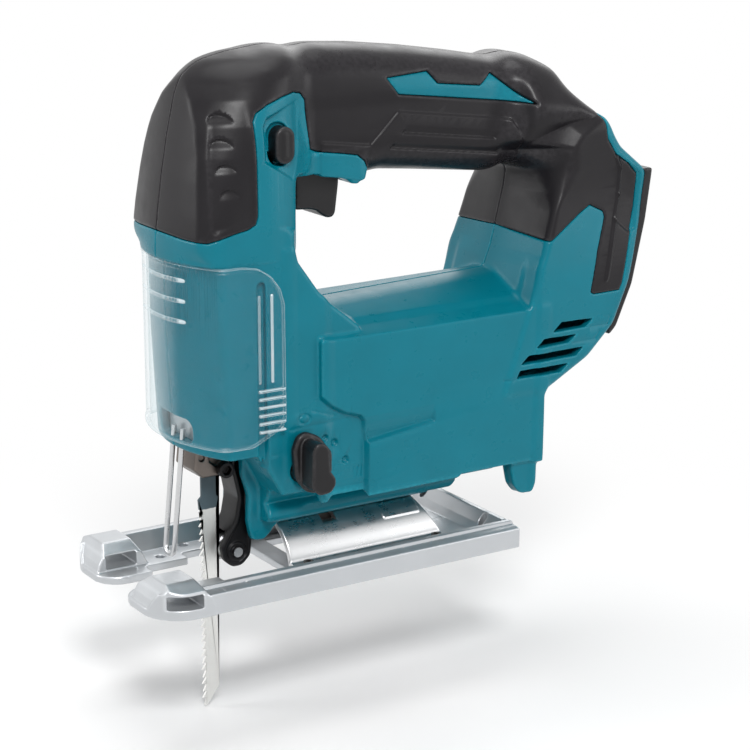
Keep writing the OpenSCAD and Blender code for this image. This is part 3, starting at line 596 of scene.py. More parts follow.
def base_field(g):
    """The closed outer shape of one half of the housing, for Y from the centre plane outward."""
    x, y, z = g.x, g.y, g.z

    def cells(reach):
        return max(1, round(reach / g.step))

    def along(heights, values):
        return np.interp(z, heights, values).astype(np.float32)

    front = along([50, 90, 117.8, 118.6, 121, 128, 135, 147, 160.5, 173.6, 180, 190],
                  [-75.4, -77.3, -77.5, -80.4, -80.5, -80.1, -79.3, -77.6, -75.2, -72.2, -70, -65.5])
    arc = np.hypot(x - front - HEAD_R, y) - HEAD_R
    shoulder = along([112, 128, 134.5, 144, 154.7, 164.7, 173, 178, 186],
                     [3, 8, 9.2, 12.5, 16.5, 23.8, 35, 44, 55])
    head = smax(arc - 3.2 * ramp(z, 112, 128), y - HEAD_HALF, shoulder)
    face = np.hypot(x - front - 51 - 39 * ramp(z, 119, 126), y) - 51 - 39 * ramp(z, 119, 126)
    head = smax(head, face, 0.7)
    corner = ((x + 42) + (y - HEAD_HALF)) * 0.7071
    head = smax(head, corner, 7 + 9 * ramp(z, 150, 172))
    top = soften(outline(x, z, HEAD_TOP), cells(2.0))
    head = smax(head, top + ramp(z, 142, 168) * y * y * 0.0145, 1 + 3 * ramp(z, 152, 170))
    low = smax(smax(arc, y - HEAD_HALF + 0.5, 1.6), smax(outline(x, z, HEAD_LOW), corner, 5), 1.2)
    field = smin(head, low, 0.6)
    handle = smax(soften(outline(x, z, HANDLE), cells(1.6)), y - HANDLE_HALF, 15)
    field = smin(field, handle, 8)
    rear_line = outline(x, z, REAR_CREASE + [(-20, 40), (-20, 176)])
    rear_side = y - (REAR_HALF + 0.4 + 2.1 * (1 - ramp(z, 96, 132))) + 0.05 * np.maximum(rear_line, 0)
    half = BODY_HALF - 2.9 * ramp(-outline(x, z, AHEAD), -0.4, 0.8) * (0.7 + 0.3 * ramp(z, 28, 34))
    slope = np.maximum((z - 88.4) * 0.92 + (y - BODY_HALF) * 0.392, y - half)
    roof = smax(slope, z - 0.033 * x - 97.6, 1.6)
    clear_of_sole = 39.3 - np.hypot(y, z)      # the runners' outer corners stay inside this as they tilt
    relief = np.minimum(np.minimum(z + y - 41.8, y - z + 13.4), clear_of_sole)
    relief = np.maximum(relief, np.minimum(y - z + 4.6, clear_of_sole)) * 0.7071
    under = smax((y - half) * 0.98 - (z - 50) * 0.02, relief, 1.5)
    body = smax(smax(outline(x, z, CORE), roof, 1.6), under, 1.2)
    body = smax(body, (y - BODY_HALF) * 0.78 - (x + 32.6) * 0.62, 1.0)
    body = smax(body, rear_side, 0.8)
    flat = smax(rear_side, (rear_side - rear_line * 0.8) * 0.76, 0.9)
    dome = smax(flat, (y * 0.62 + (z - 176) * 0.78) - 5.5, 8)
    rear = smax(soften(outline(x, z, REAR), cells(1.2)), dome, 3 + 2 * ramp(z, 146, 160) * ramp(-x, -98, -84))
    column = along([50, 88, 102.6, 107.5, 119.6, 129.6, 138, 146, 156],
                   [40, 54, 58, 60.1, 63.2, 65.7, 67, 66, 30])
    column = (column + (np.sqrt(y * y + 36) - 6) * along([104, 130], [0.11, 0.2]) - x) * 0.96
    rear = smax(rear, column, 1.4 + 8 * ramp(z, 122, 140))
    field = smin(field, rear, 4 + 12 * ramp(z, 128, 146))
    body = smin(body, rear, 2.4)
    field = smin(field, body, 1.2)
    web = smax(outline(x, z, WEB), y - HEAD_HALF + 0.4, 2)
    field = smin(field, web, 1.2)
    nose = smax(smax(outline(x, z, FRONT_LOW), y - HEAD_HALF + 0.4, 2), relief, 1.2)
    field = smin(field, nose, 1.5)
    wedge = smax(smax(np.abs(x - 2.6) - 49.6, y - 17.4, 1), relief, 2)
    wedge = smax(wedge, np.maximum(z - 46, 20.6 + 4 * ramp(x, 31, 34.5) - z), 1)
    wedge = smax(wedge, 20.4 - np.hypot(y, z), 0.6)
    neck = smax(smax(np.abs(x + 9.5) - 35.5, y - 10, 1), np.maximum(z - 40, 20.4 - np.hypot(y, z)), 0.8)
    field = smin(field, smin(wedge, neck, 0.8), 1.2)
    bridge_ends = np.maximum(z - 152, 141.9 - z - 0.155 * (x + 14))
    bridge = smax(smax(np.abs(x + 21.2) - 16, y - HANDLE_HALF + 0.6, 3), bridge_ends, 1.0)
    bump = smax(outline(x, z, [
        (-14.5, 142), (-10.6, 139.6), (-8.4, 139.3), (-5.4, 141.6), (-4, 145), (-6, 148), (-14, 148),
    ]), y - HANDLE_HALF + 1.2, 1.5)
    field = smin(field, smin(bridge, bump, 1.0), 1.2)
    foot = smax(soften(outline(x, z, FOOT), cells(0.8)), np.abs(y - 24) - 3.3, 1.4)
    field = smin(field, foot, 2.0)
    lobe = smax(soften(outline(x, z, LOBE), cells(0.9)), np.abs(y - 8.3) - 1.8, 1.2)
    return smin(field, lobe, 1.5)


def sunk(x, z, points, depth, edge=0.5):
    """How far a panel is sunk, with sloping edges."""
    return depth * ramp(-outline(x, z, points), -edge, edge)


def details(g):
    """Depth of the panels, ribs and marks in the side of the housing, seen from the side."""
    x, z = g.x, g.z
    depth = sunk(x, z, LONG_RECESS, 2.0, 0.5) * (1 - 0.9 * ramp(z, 50, 58.5))
    depth += sunk(x, z, HEAD_PANEL, 0.5, 1.0) * (1 - ramp(z, 160, 174))
    for cx, cz in ((-65.8, 140.6), (-66.3, 149), (-66.7, 157.3), (-65.7, 165.3)):
        r = np.hypot(x - cx, z - cz)
        depth += 0.75 * ramp(3.9 - r, -0.15, 0.3) * ramp(z, cz + 0.2, cz + 3.3) * ramp(cx + 4.2 - x, 0, 1.2)
    handle = ramp(x, -30, -26)
    around = ramp(outline(x, z, HANDLE_RAISED), -0.5, 0.3)
    depth += 0.6 * handle * around * (1 - ramp(z, 166, 172)) * ramp(62 - x, 0, 3)
    for slot in HANDLE_SLOTS:
        low = slot[0][1] + (x - slot[0][0]) * (slot[1][1] - slot[0][1]) / (slot[1][0] - slot[0][0])
        depth += sunk(x, z, slot, 0.7, 0.25) * (1 - ramp(z - low, 0.3, 3.0))
    depth += sunk(x, z, BUTTON_PANEL, 1.8, 0.45) * (1 - 0.9 * ramp(x, -50, -38))
    depth += sunk(x, z, WINDOW, 0.8, 0.35)
    for a, b in zip(WINDOW_RIDGE, WINDOW_RIDGE[1:]):
        depth = np.minimum(depth, depth - 0.8 * ramp(1.3 - segment(x, z, a, b), 0, 1.2) * ramp(z, 93, 96))
    for line in VENT_LINES:
        for a, b in zip(line, line[1:]):
            depth += 0.4 * ramp(0.35 - segment(x, z, a, b), 0, 0.25)
    for a, b in (((-34.7, 63.3), (-25.9, 60.6)), ((-44.4, 58), (-20.5, 58.6))):
        depth += 0.4 * ramp(0.4 - segment(x, z, a, b), 0, 0.3)
    depth += 1.2 * ramp(0.9 - segment(x, z, (-53.4, 46), (-53.4, 56)), 0, 0.5)
    ring = np.hypot((x + 38.2) * 0.75, z - 61.0) - 1.6
    depth += 0.5 * ramp(0.42 - np.abs(ring), 0, 0.25)
    for dot in ((-30.1, 52.7), (-25.9, 50.4), (-21.3, 43.3)):
        depth += 1.1 * ramp(1.4 - np.hypot(x - dot[0], z - dot[1]), 0, 0.35)
    for i in range(3):
        depth += 0.4 * ramp(0.4 - segment(x, z, (-17.8 + 1.7 * i, 36.2), (-17.4 + 1.7 * i, 39.8)), 0, 0.25)
    return depth


def seat_frame(g):
    """X and Z measured from the battery seat's corner, out of it and up along it."""
    dx, dz = g.x - SEAT_AT[0], g.z - SEAT_AT[1]
    c, s = math.cos(SEAT_TILT), math.sin(SEAT_TILT)
    return dx * c - dz * s, dx * s + dz * c


def housing_pieces():
    g = Grid((-83, -0.9, 11.5), (116.5, 32.4, 191.5), STEP)
    x, y, z = g.x, g.y, g.z
    base = base_field(g)
    on_handle = ramp(x, -36, -28) * (1 - ramp(x, 62, 70)) * (z > 138)
    on_head = ramp(z, 140, 164) * (1 - ramp(x, -36, -28))
    flank = ramp(y - 20 + 13 * on_handle + 7 * on_head, 0, 4)
    outer = base + details(g) * flank
    zone = np.maximum(outline(x, z, GRIP_ZONE), -outline(x, z, STRIPE))
    zone = np.maximum(zone, np.where((x < 66.2) & (x > 47) & (z < 130), 114.8 - 0.07 * y - z, -9))
    sx, sz = seat_frame(g)
    pocket = block((sx + 1, y, sz + 23), (9.3, 24.8, 23.3), 0.8)
    pocket = np.minimum(pocket, block((sx - 0.35, y, sz + 12), (7.7, 18.9, 28), 0.8))
    cuts = [
        pocket,
        block((x + 20.9, y, z - 136), (9.9, 9.6, 18.5), 0.6),
        np.maximum(stadium(x + 45.7, z - 157.9, 2.4, 4.9), 22 - y),
        np.maximum(np.hypot(x + 62.3, y) - 8.4, z - 56),
        block((x + 74, y, z - 57.6), (8.5, 12, 4.4), 3.5),
        block((x + 53.3, y, z - 41.4), (8.7, 6.6, 11.4), 0.4),
        np.maximum(stadium(x + 54.6, z - 77, 33, 1.7), 25.1 - y),
        np.maximum(np.hypot(x + 20, y) - 3.2, z - 45),
    ]
    for vent in VENTS:
        cuts.append(np.maximum(outline(x, z, vent), 20 - y))
    cavity = base + WALL + np.maximum(details(g) * flank, 0)
    for ax, az in SCREWS:
        cavity = np.maximum(cavity, 3.9 - np.hypot(x - ax, z - az))
    baffle = np.minimum(1.4 - y, -block((x - 70, z - 72), (24, 17), 1))      # behind the vents
    cavity = np.maximum(cavity, baffle)
    pieces = []
    for side in ("left", "right"):
        shell = np.maximum(outer, -cavity)
        mine = list(cuts)
        if side == "left":
            mine.append(np.hypot(x - LEVER[0], z - LEVER[1]) - 4.15)
        else:
            for ax, az in SCREWS:
                mine.append(np.maximum(np.hypot(x - ax, z - az) - 3.3, -4.3 - base))
        for cut in mine:
            shell = smax(shell, -cut, 0.5)
        seam = 0.06 - y
        grip = smax(np.maximum(outer - 0.15, -(base + SKIN + 0.4)), zone + 0.12, 0.8)
        for cut in mine:
            grip = smax(grip, -cut, 0.5)
        under_grip = np.maximum(zone, -(base + SKIN + 0.45))
        stripe = 0.5 * ramp(-outline(x, z, STRIPE), -0.6, 0.1)
        teal = smax(shell + stripe, -under_grip, 0.4)
        pieces.append(from_field(
            "housing_" + side + "_shell", smax(teal, seam, 0.5), g, "machine", 0.24, side == "left"))
        pieces.append(from_field(
            "grip_" + side + "_skin", smax(grip, seam, 0.4), g, "machine", 0.35, side == "left"))
        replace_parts(pieces[-2], "housing_" + side)
        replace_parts(pieces[-1], "grip_" + side)
        finish(pieces[-2], "teal_plastic")
        finish(pieces[-1], "grip_rubber")


# ---------- other pieces ----------

def piece(name, lo, hi, shape, body, slot, nodes=(), step=FINE, keep=0.4):
    """One piece from a function of X, Y and Z that gives its field."""
    g = Grid(lo, hi, step)
    obj = from_field(name, shape(g.x, g.y, g.z) + 0 * (g.x + g.y + g.z), g, body, keep)
    if nodes:
        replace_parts(obj, *nodes)
    return finish(obj, slot)


def sole(x, y, z):
    w = np.abs(y)
    half, nose, rear = 38, -101, 48.4
    side = outline(w, z, [
        (0, 0), (half, 0), (half, 7.6), (36, 8.0), (33.6, 8.2), (32.8, 9.2), (30.6, 9.2), (26, 3), (0, 3)])
    plan = block((x - (nose + rear) / 2, y), ((rear - nose) / 2, half), 0.8)
    corner = np.hypot(np.maximum(nose + 15 - x, 0), np.maximum(w - (half - 15), 0)) - 15
    plan = np.maximum(plan, np.where((x < nose + 15) & (w > half - 15), corner, plan))
    inner = np.hypot(np.maximum(nose + 9 - x, 0), np.maximum(14.5 - w, 0)) - 9
    plan = np.maximum(plan, np.where((x < nose + 9) & (w < 14.5), inner, plan))
    bar = smax(smax(side, plan, 0.7), -z, 0.5)
    hip = outline(w, z, [(13.5, 0), (13.8, 8.2), (19.5, 12), (30, 12), (36.6, 9.4), (38, 8.2), (38, 0)])
    ends = outline(x, z, [(-101, 0), (-99.2, 6), (-95.4, 12), (-84.3, 12), (-80, 3.2), (-80, 0)])
    nose_block = smax(smax(smax(hip, ends, 0.6), plan, 0.6), -z, 0.5)
    out = smin(bar, nose_block, 0.6)
    out = smax(out, -block((x + 90.6, z - 6.1), (6, 2.4), 0.5), 0.4)
    gap = np.minimum(block((x + 90, y), (23, 5.5), 0.6), block((x + 72.4, y), (10, 11.6), 1.5))
    gap = np.minimum(gap, block((x + 52.5, y), (12.5, 17.5), 2))
    gap = np.minimum(gap, block((x + 20, y), (12, 13), 1))
    out = smax(out, -gap, 0.5)
    lip = smax(smax(outline(x, z, [
        (48.4, 0), (48.4, 8.6), (47.4, 9.2), (45.4, 9.2), (42.4, 5), (39.4, 3), (39.4, 0),
    ]), w - 30, 0.5), -z, 0.4)
    out = smin(out, lip, 0.6)
    for hx, hw in ((-60, 24.6), (44, 20), (-73, 18)):
        out = smax(out, -np.maximum(np.hypot(x - hx, w - hw) - 1.7, 1.2 - z), 0.4)
    for i, gx in enumerate((-76, -66, -56)):
        out = out + 0.25 * ramp(0.35 - segment(x, y, (gx, -37), (gx, -34.5 + (i == 1))), 0, 0.25) * (z > 7)
    return out


def bracket(x, y, z):
    w, r = np.abs(y), np.hypot(y, z)
    length = np.abs(x + 7) - 32.5
    shell = smax(np.abs(r - 18.75) - 1.25, length, 0.5)
    shell = smax(shell, 3 - z, 0.3)
    flange = smax(smax(np.abs(z - 4) - 1, w - 25.3, 0.4), length, 0.5)
    flange = np.maximum(flange, 18.4 - w)
    out = smin(shell, flange, 1.2)
    slot = np.maximum(np.abs(x + 18.9) - 2.9, 15.4 - z)
    out = smax(out, -slot, 0.5)
    end = 25.5 - 0.55 * np.maximum(z - 5, 0)
    out = smax(out, x - np.minimum(end, 25.5), 0.5)
    label = block((x - 10.5, z - 15.3), (7.8, 2.1), 0.6)
    out = out - 0.3 * ramp(-label, -0.15, 0.15) * (y < 0)
    out = out + 0.3 * ramp(0.35 - np.abs(w - 21.6), 0, 0.3) * (z > 4.4) * (w > 20)
    for sx in (-34.5, 20.5):
        out = smax(out, -(np.hypot(x - sx, w - 23.2) - 1.25), 0.3)
    return out


def cover(x, y, z):
    w = np.abs(y)
    front, wall = -79.9, 1.5
    arc = np.hypot(x - (front + 52.4), y) - 52.4
    outer = smax(arc, w - 29.7, 2.0)
    shell = np.maximum(outer, -(outer + wall))
    side = soften(outline(x, z, [
        (-84, 54.6), (-60, 54.4), (-48.4, 59.8), (-46.8, 63), (-47, 104), (-48.6, 109.5), (-52, 114),
        (-57, 117.2), (-63, 118.2), (-84, 118.2),
    ]), 2)
    out = smax(shell, side, 0.7)
    rim = smax(smax(outer - 0.35, side, 0.3), -(side + 1.5), 0.4)
    out = smin(out, np.maximum(rim, -(outer + wall)), 0.4)
    for i in range(3):
        z0 = 112.6 - 7.2 * i
        rib = np.hypot(outer - 0.1, z - z0 - 0.1 * (x + 80)) - 0.62
        out = smin(out, smax(rib, x + 77.8, 0.6), 0.5)
    upright = np.maximum(np.maximum(outer - 0.5, -(outer + 1)), np.abs(np.abs(x + 54.6) - 2.5) - 0.45)
    out = smin(out, upright + 30 * ((z > 108) | (z < 77)), 0.4)
    for i in range(6):
        z0 = 59.6 + 2.9 * i
        rib = smax(np.hypot((w - 29.9) * 0.8, (z - z0) * 1.5) - 0.75, np.abs(x + 52.4) - 5.2, 0.5)
        out = smin(out, rib, 0.4)
    return out


def lever(x, y, z):
    base = soften(outline(x, z, [
        (-45.2, 51.7), (-43.2, 56.4), (-39.8, 57.6), (-34.6, 55.2), (-29.9, 49.1), (-29.8, 41.7),
        (-33.1, 34.9), (-36.5, 34.4), (-40, 35.6), (-44.2, 40.8),
    ]), 3)
    base = smax(base, np.abs(y + 30.6) - 1.6, 1.4)
    hub = smax(np.hypot(x - LEVER[0], z - LEVER[1]) - 4.0, np.maximum(-31 - y, y + 24), 0.3)
    knob = soften(outline(x, z, [
        (-42.6, 53.4), (-41, 55.6), (-38.2, 55.6), (-36.2, 53.6), (-35.8, 45.2), (-33.6, 42.2),
        (-33.6, 39.6), (-35.6, 37.2), (-40, 36.8), (-42.9, 39.4),
    ]), 2)
    knob = smax(knob + 0.05 * (y + 40), np.maximum(-41.2 - y, y + 31), 1.0)
    return smin(smin(base, hub, 0.4), knob, 0.8)


def trigger(x, y, z):
    side = soften(outline(x, z, [
        (-30, 147), (-30, 131), (-24, 130.7), (-21.2, 129.9), (-19.1, 128.2), (-16.8, 126.9),
        (-14.6, 126.9), (-13.5, 128.4), (-12.1, 139), (-12, 147),
    ]), 2)
    return smax(side, np.abs(y) - 8.9, 1.6)


def lock_button(x, y, z):
    w = np.abs(y + 1.9)
    out = stadium(x - BUTTON[0], z - BUTTON[1], 2.6, 3.75)
    out = smax(out, w - 25.7, 1.3)
    ridge = np.hypot(x - BUTTON[0] + 0.3, (w - 25.3) * 1.6) - 1.0
    ridge = smax(ridge, np.abs(z - BUTTON[1]) - 4.3, 1.0)
    return smin(out, ridge, 0.8)


def arm(x, y, z):
    w = np.abs(y)
    side = soften(outline(x, z, [
        (-53.5, 48.6), (-56, 41.5), (-54.6, 36), (-53, 28), (-54.5, 20), (-57.5, 15.6), (-60.3, 11),
        (-59.5, 6), (-56, 2.8), (-52, 2.8), (-48.5, 6), (-47.6, 14), (-48.5, 24), (-48, 36), (-46, 42),
        (-46, 48.6),
    ]), 3)
    out = smax(side, w - 6, 0.9)
    out = smax(out, -np.maximum(w - 3.3, z - 15.6), 0.5)
    out = smax(out, -np.maximum(side + 1.6, 5.3 - w), 0.5)
    boss = smax(np.hypot(x + 54.05, z - 8.4) - 3.6, np.maximum(w - 6, 3.3 - w), 0.4)
    out = smin(out, boss, 0.5)
    out = smax(out, -(np.hypot(x + 54.05, z - 8.4) - 1.85), 0.25)
    return smax(out, -(np.hypot(x + 49.5, z - 45) - 1.6), 0.25)


def clamp(x, y, z):
    side = outline(x, z, [
        (-71.3, 42), (-68, 38.8), (-57.8, 38.8), (-57, 41), (-57, 46), (-58.4, 49.2), (-70.5, 49.2),
    ])
    out = smax(side, np.abs(y) - 7.4, 0.9)
    out = smax(out, -np.maximum(np.hypot(x + 62.3, y) - 4.6, 43 - z), 0.3)
    out = smax(out, -np.maximum(np.abs(x + 61.8) - 5.5, np.maximum(np.abs(y) - 0.6, z - 45)), 0.3)
    out = smax(out, -(np.hypot(x + 60, z - 41.3) - 1.65 + 9 * (y > -0.4)), 0.2)
    out = smax(out, -np.maximum(np.hypot(x + 68.2, z - 46.2) - 1.1, y + 6.2), 0.3)
    out = smax(out, -np.maximum(np.hypot(x + 69.4, y - 2.5) - 1.0, np.abs(z - 44) - 1.6), 0.3)
    pocket = smax(outline(x, z, [
        (-65.6, 49.6), (-65.2, 44.4), (-62.4, 42.2), (-59, 44.8), (-57.6, 47.6), (-58, 49.6),
    ]), y + 6.1, 0.5)
    return smax(out, -pocket, 0.6)


def clamp_screw(x, y, z):
    r = np.hypot(x + 60, z - 41.3)
    head = smax(r - 3, np.maximum(-10.6 - y, y + 7.5), 0.5)
    shank = np.maximum(r - 1.6, np.maximum(-7.6 - y, y + 0.6))
    angle = np.arctan2(z - 41.3, x + 60)
    hexagon = r * np.cos((angle % (math.pi / 3)) - math.pi / 6) - 1.6
    return smax(smin(head, shank, 0.2), -np.maximum(hexagon, y + 8.4), 0.25)


def seat(x, y, z):
    """The battery seat, with its rim that follows the rear of the housing."""
    c, s = math.cos(SEAT_TILT), math.sin(SEAT_TILT)
    dx, dz = x - SEAT_AT[0], z - SEAT_AT[1]
    u, v, w = dx * c - dz * s, dx * s + dz * c, np.abs(y)
    frame_box = block((u + 4.4, y, v + 23), (5.4, 24.3, 22.8), 1.0)
    out = smax(frame_box, -block((u + 3.4, y, v + 22), (3.6, 18.6, 22.6), 0.8), 0.5)
    out = smax(out, -block((u - 1.4, y, v + 20), (2.6, 16, 23), 0.6), 0.5)
    out = smax(out, soften(outline(x, z, REAR), 3) - 2.5, 0.6)
    notch = np.maximum(np.abs(w - 20.8) - 1.4, np.abs(v + 6) - 2.6)
    return smax(out, -np.maximum(notch, 0.6 - u), 0.3)


def tail_strip(x, y, z):
    """The black edge round the seat, which goes on round the lower rear corner."""
    edge = soften(outline(x, z, REAR), 3)
    strip = smax(np.abs(edge - 1.1) - 1.7, np.abs(y) - 26.9, 0.9)
    strip = smax(smax(strip, 96.6 - x, 0.8), z - 135.4, 0.8)
    v = (z - SEAT_AT[1]) * math.cos(SEAT_TILT)
    return smax(strip, -block((y, v + 22.5), (16, 24.4), 0.8), 0.5)


piece("sole", (-102, -39, -1), (51.8, 39, 13.2), sole, "sole",
      "cast_aluminium", ["sole_plate"], keep=0.4)
piece("tilt_bracket_shell", (-41, -26.5, 2), (27, 26.5, 21.5), bracket, "sole",
      "bright_steel", ["tilt_bracket"], keep=0.8)
piece("clear_cover", (-82, -31.5, 51.5), (-45.5, 31.5, 119.8), cover, "cover",
      "clear_plastic", ["dust_cover"])
piece("selector_lever", (-47.5, -42, 33), (-30, -22, 60), lever, "orbital_selector",
      "black_plastic", ["orbital_lever"])
piece("trigger_key", (-31, -10, 125.5), (-11, 10, 148), trigger, "trigger_key",
      "black_plastic", ["trigger"])
piece("lock_button", (-49.4, -29, 150), (-39.6, 25.4, 165.4), lock_button, "lock_button",
      "black_plastic", ["lock_off_button"])
piece("roller_support_arm", (-61.5, -7, 1.5), (-44.5, 7, 50), arm, "roller_support",
      "black_steel", ["roller_arm"])
piece("blade_clamp_block", (-72.5, -8.5, 37.5), (-56, 8.5, 50.2), clamp, "plunger",
      "dark_steel", ["blade_clamp"])
piece("clamp_screw_hex", (-64, -11.6, 37.5), (-56, 0.6, 45.2), clamp_screw, "plunger",
      "black_steel", ["clamp_screw"], FINE * 0.7)
piece("battery_seat", (94, -27.6, 86), (116.4, 27.6, 139), seat, "machine",
      "black_plastic", ["battery_frame"])
piece("battery_seat_edge", (95.4, -27.8, 72), (117, 27.8, 136.6), tail_strip, "machine",
      "black_plastic")

housing_pieces()


def raw_piece(name, build, body, slot, nodes=(), split=38):
    """A piece whose vertices and faces come from a function that fills a bmesh, in millimetres."""
    made = bmesh.new()
    build(made)
    bmesh.ops.remove_doubles(made, verts=made.verts, dist=0.001)
    bmesh.ops.recalc_face_normals(made, faces=made.faces)
    bmesh.ops.scale(made, vec=(MM, MM, MM), verts=made.verts)
    mesh = bpy.data.meshes.new(name)
    made.to_mesh(mesh)
    obj = bpy.data.objects.new(name, mesh)
    bpy.context.collection.objects.link(obj)
    mesh.shade_smooth()
    edges = obj.modifiers.new("edges", "EDGE_SPLIT")
    edges.split_angle = math.radians(split)
    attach(obj, body)
    if nodes:
        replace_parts(obj, *nodes)
    return finish(obj, slot)


def saw_blade(made):
    """T-shank blade with its teeth set to alternate sides."""
    back, front, gullet, thick = -59.6, -66, -64.7, 0.5
    shank = [
        (-59.6, 24), (-58.6, 28.4), (-59.4, 29.6), (-59.4, 40), (-57.8, 41), (-57.8, 42.6), (-59.6, 43.4),
        (-60, 47.6), (-61, 48.6), (-63.6, 48.6), (-64.6, 47.6), (-65, 43.4), (-66.8, 42.6), (-66.8, 41),
        (-65.2, 40), (-65.2, 29.6), (-66.4, 28.4), (-66, 24),
    ]
    pitch, low = 2.75, -51
    count = 26
    roots = [(gullet, 23.4 - pitch * i) for i in range(count + 1)]
    ring = shank + roots + [(front + 0.4, low + 0.4), (front + 1.2, low), (back, -44)]
    sides = [[made.verts.new((x, t, z)) for x, z in ring] for t in (-thick, thick)]
    for side in sides:
        made.faces.new(side)
    for i in range(len(ring)):
        j = (i + 1) % len(ring)
        made.faces.new((sides[0][i], sides[0][j], sides[1][j], sides[1][i]))
    bmesh.ops.triangulate(made, faces=[f for f in made.faces if len(f.verts) > 4])
    for i in range(count):
        bend = 0.3 if i % 2 else -0.3
        (x0, z0), (x1, z1) = roots[i], roots[i + 1]
        tip = [made.verts.new((front - 0.15, t * 0.8 + bend, z1 + 0.35)) for t in (-thick, thick)]
        a = [made.verts.new((x0 + 0.02, t, z0)) for t in (-thick, thick)]
        b = [made.verts.new((x1 + 0.02, t, z1 + 0.5)) for t in (-thick, thick)]
        ends = ((a[0], b[0], tip[0]), (a[1], tip[1], b[1]))
        edges = ((a[0], tip[0], tip[1], a[1]), (b[0], b[1], tip[1], tip[0]), (a[0], a[1], b[1], b[0]))
        for face in ends + edges:
            made.faces.new(face)


def tube(made, path, r, turns=16):
    """A round wire along a path of points."""
    path = [Vector(p) for p in path]
    rings = []
    angles = [2 * math.pi * k / turns for k in range(turns)]
    side = Vector((1, 0, 0))
    for i, p in enumerate(path):
        along = (path[min(i + 1, len(path) - 1)] - path[max(i - 1, 0)]).normalized()
        side = (side - along * side.dot(along)).normalized()
        other = along.cross(side)
        rings.append([made.verts.new(p + (side * math.cos(a) + other * math.sin(a)) * r) for a in angles])
    for a, b in zip(rings, rings[1:]):
        for k in range(turns):
            made.faces.new((a[k], a[(k + 1) % turns], b[(k + 1) % turns], b[k]))
    made.faces.new(rings[0][::-1])
    made.faces.new(rings[-1])


def wire(made):
    tilt = math.radians(5.9)

    def place(side, down):
        return (-73.6 - down * math.sin(tilt), side, 55 - down * math.cos(tilt))
    bend = [(3.3 * math.cos(a), 41.7 + 2.9 * math.sin(a)) for a in np.linspace(0, math.pi, 13)]
    down = [place(3.3, d) for d in np.linspace(-2, 40, 8)]
    up = [place(-3.3, d) for d in np.linspace(40, -2, 8)]
    tube(made, down + [place(a, b) for a, b in bend] + up, 0.95)


raw_piece("saw_blade", saw_blade, "plunger", "blade_steel", ["blade"], 25)
raw_piece("blade_guard_wire", wire, "machine", "bright_steel", ["wire_guard"], 60)


def case_screw(x, z, y0, y1):
    """Builds a screw along Y with a domed head and a six-lobe socket."""
    profile = [
        (0, y1 - 1), (0.9, y1 - 1), (1.25, y1 - 0.1), (1.5, y1), (2.4, y1 - 0.25), (2.8, y1 - 0.9),
        (2.85, y1 - 2.3), (2.6, y1 - 2.45), (1.45, y1 - 2.5), (1.45, y0 + 1), (0.7, y0), (0, y0)]
    turns = 36

    def build(made):
        rings = []
        for i, (r, y) in enumerate(profile):
            angles = [2 * math.pi * k / turns for k in range(turns)]
            lobes = [r * (1 + 0.12 * math.cos(6 * a)) if i in (1, 2) else r for a in angles]
            around = [(x + c * math.cos(a), y, z + c * math.sin(a)) for a, c in zip(angles, lobes)]
            rings.append([made.verts.new(p) for p in around])
        for a, b in zip(rings, rings[1:]):
            for k in range(turns):
                made.faces.new((a[k], a[(k + 1) % turns], b[(k + 1) % turns], b[k]))
    return build


def half_width(x, z):
    """Where the far side of the housing is at a point."""
    g = Grid((x, 0, z), (x + 0.1, 32, z + 0.1), 0.25)
    field = base_field(g)[0, :, 0]
    return float(np.interp(0, field, g.y[0, :, 0]))


for i, (sx, sz) in enumerate(SCREWS):
    face = half_width(sx, sz)
    build = case_screw(sx, sz, 1 - face * 0.5, face - 2.2)
    raw_piece("housing_screw_" + str(i + 1), build, "machine", "dark_steel", [] if i else ["housing_screws"])

REBUILT = {node for obj in bpy.data.objects for node in obj.get("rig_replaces", [])}
for entry in record["subparts"]:
    if entry["node"] not in REBUILT:
        node = finish(frame["nodes"][entry["node"]], entry["material_slot"])
        bevel = node.modifiers.new("edges", "BEVEL")
        bevel.width, bevel.segments = 0.2 * MM, 2
        bevel.limit_method, bevel.angle_limit = "ANGLE", math.radians(35)
        bevel.harden_normals = True


# ---------- floor and light ----------

def seen(n, kinds):
    """1 where a ray of one of these kinds arrives."""
    path = n.node("LightPath")
    total = path.outputs[kinds[0]]
    for kind in kinds[1:]:
        total = n.math("MAXIMUM", total, path.outputs[kind])
    return total


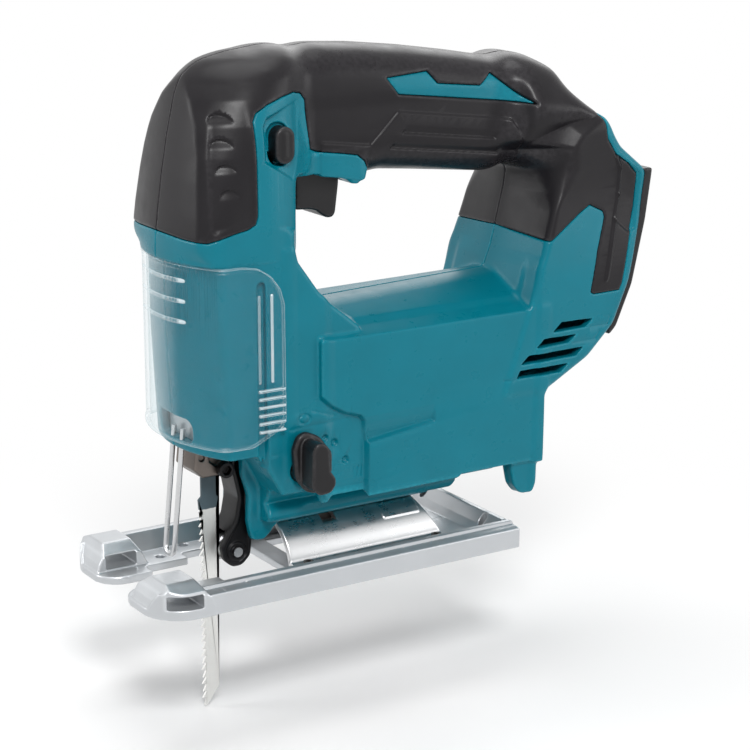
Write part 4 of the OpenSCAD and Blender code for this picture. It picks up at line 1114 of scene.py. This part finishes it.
def stage():
    """Pale floor, which fades into the white background away from the object."""
    low = CAD_BOX[0][2]
    made = bmesh.new()
    bmesh.ops.create_grid(made, x_segments=1, y_segments=1, size=4)
    mesh = bpy.data.meshes.new("floor")
    made.to_mesh(mesh)
    floor = bpy.data.objects.new("floor", mesh)
    floor.location.z = low - 0.0005
    bpy.context.collection.objects.link(floor)
    n = Nodes("floor")
    n.shader.inputs["Base Color"].default_value = (0.93, 0.93, 0.93, 1)
    n.shader.inputs["Roughness"].default_value = 0.7
    n.shader.inputs["Specular IOR Level"].default_value = 0.0
    away = n.node("VectorMath", operation="LENGTH")
    n.link(n.place, away.inputs[0])
    fade = n.span(away.outputs["Value"], 0.08, 0.34, 0, 1)
    far = n.math("MULTIPLY", fade, seen(n, ["Is Camera Ray", "Is Glossy Ray", "Is Transmission Ray"]))
    glow = n.node("Emission")
    both = n.node("MixShader")
    n.link(far, both.inputs[0])
    n.link(n.shader.outputs[0], both.inputs[1])
    n.link(glow.outputs[0], both.inputs[2])
    n.link(both.outputs[0], n.tree.nodes["Material Output"].inputs["Surface"])
    mesh.materials.append(n.material)


def lamp(name, place, aim, power, size):
    data = bpy.data.lights.new(name, "AREA")
    data.energy, data.shape, data.size, data.size_y = power, "RECTANGLE", size[0], size[1]
    obj = bpy.data.objects.new(name, data)
    obj.location = place
    obj.rotation_euler = (Vector(place) - Vector(aim)).to_track_quat("Z", "Y").to_euler()
    bpy.context.collection.objects.link(obj)


stage()
middle = (0, 0, 0.09)
lamp("key", (-0.55, -1.15, 1.2), middle, 17, (0.4, 0.4))
lamp("fill", (1.1, -1.0, 0.35), middle, 4, (0.7, 0.9))
lamp("rim", (-1.3, 0.75, 0.6), middle, 6, (0.5, 0.9))
lamp("rear", (0.9, 1.0, 0.9), middle, 4, (0.9, 0.9))
lamp("top", (0.0, 0.1, 1.4), middle, 7, (0.9, 0.9))
world = bpy.data.worlds.new("world")
world.use_nodes = True
sky = world.node_tree


def sky_node(kind, *values, **settings):
    made = sky.nodes.new("ShaderNode" + kind)
    for key, value in settings.items():
        setattr(made, key, value)
    for i, v in enumerate(values):
        if isinstance(v, bpy.types.NodeSocket):
            sky.links.new(v, made.inputs[i])
        else:
            made.inputs[i].default_value = v
    return made


# white behind the object and in what metal and glass show, and a soft light from all round otherwise
path = sky_node("LightPath").outputs
plain = sky_node("Math", path["Is Camera Ray"], path["Is Transmission Ray"], operation="MAXIMUM").outputs[0]
plain = sky_node("Math", plain, path["Is Glossy Ray"], operation="MAXIMUM").outputs[0]
strength = sky_node("MapRange", plain, 0.0, 1.0, 0.3, 1.0).outputs[0]
sky.links.new(strength, sky.nodes["Background"].inputs["Strength"])
sky.nodes["Background"].inputs["Color"].default_value = (1, 1, 1, 1)
bpy.context.scene.world = world
bpy.context.scene.view_settings.view_transform = "Standard"
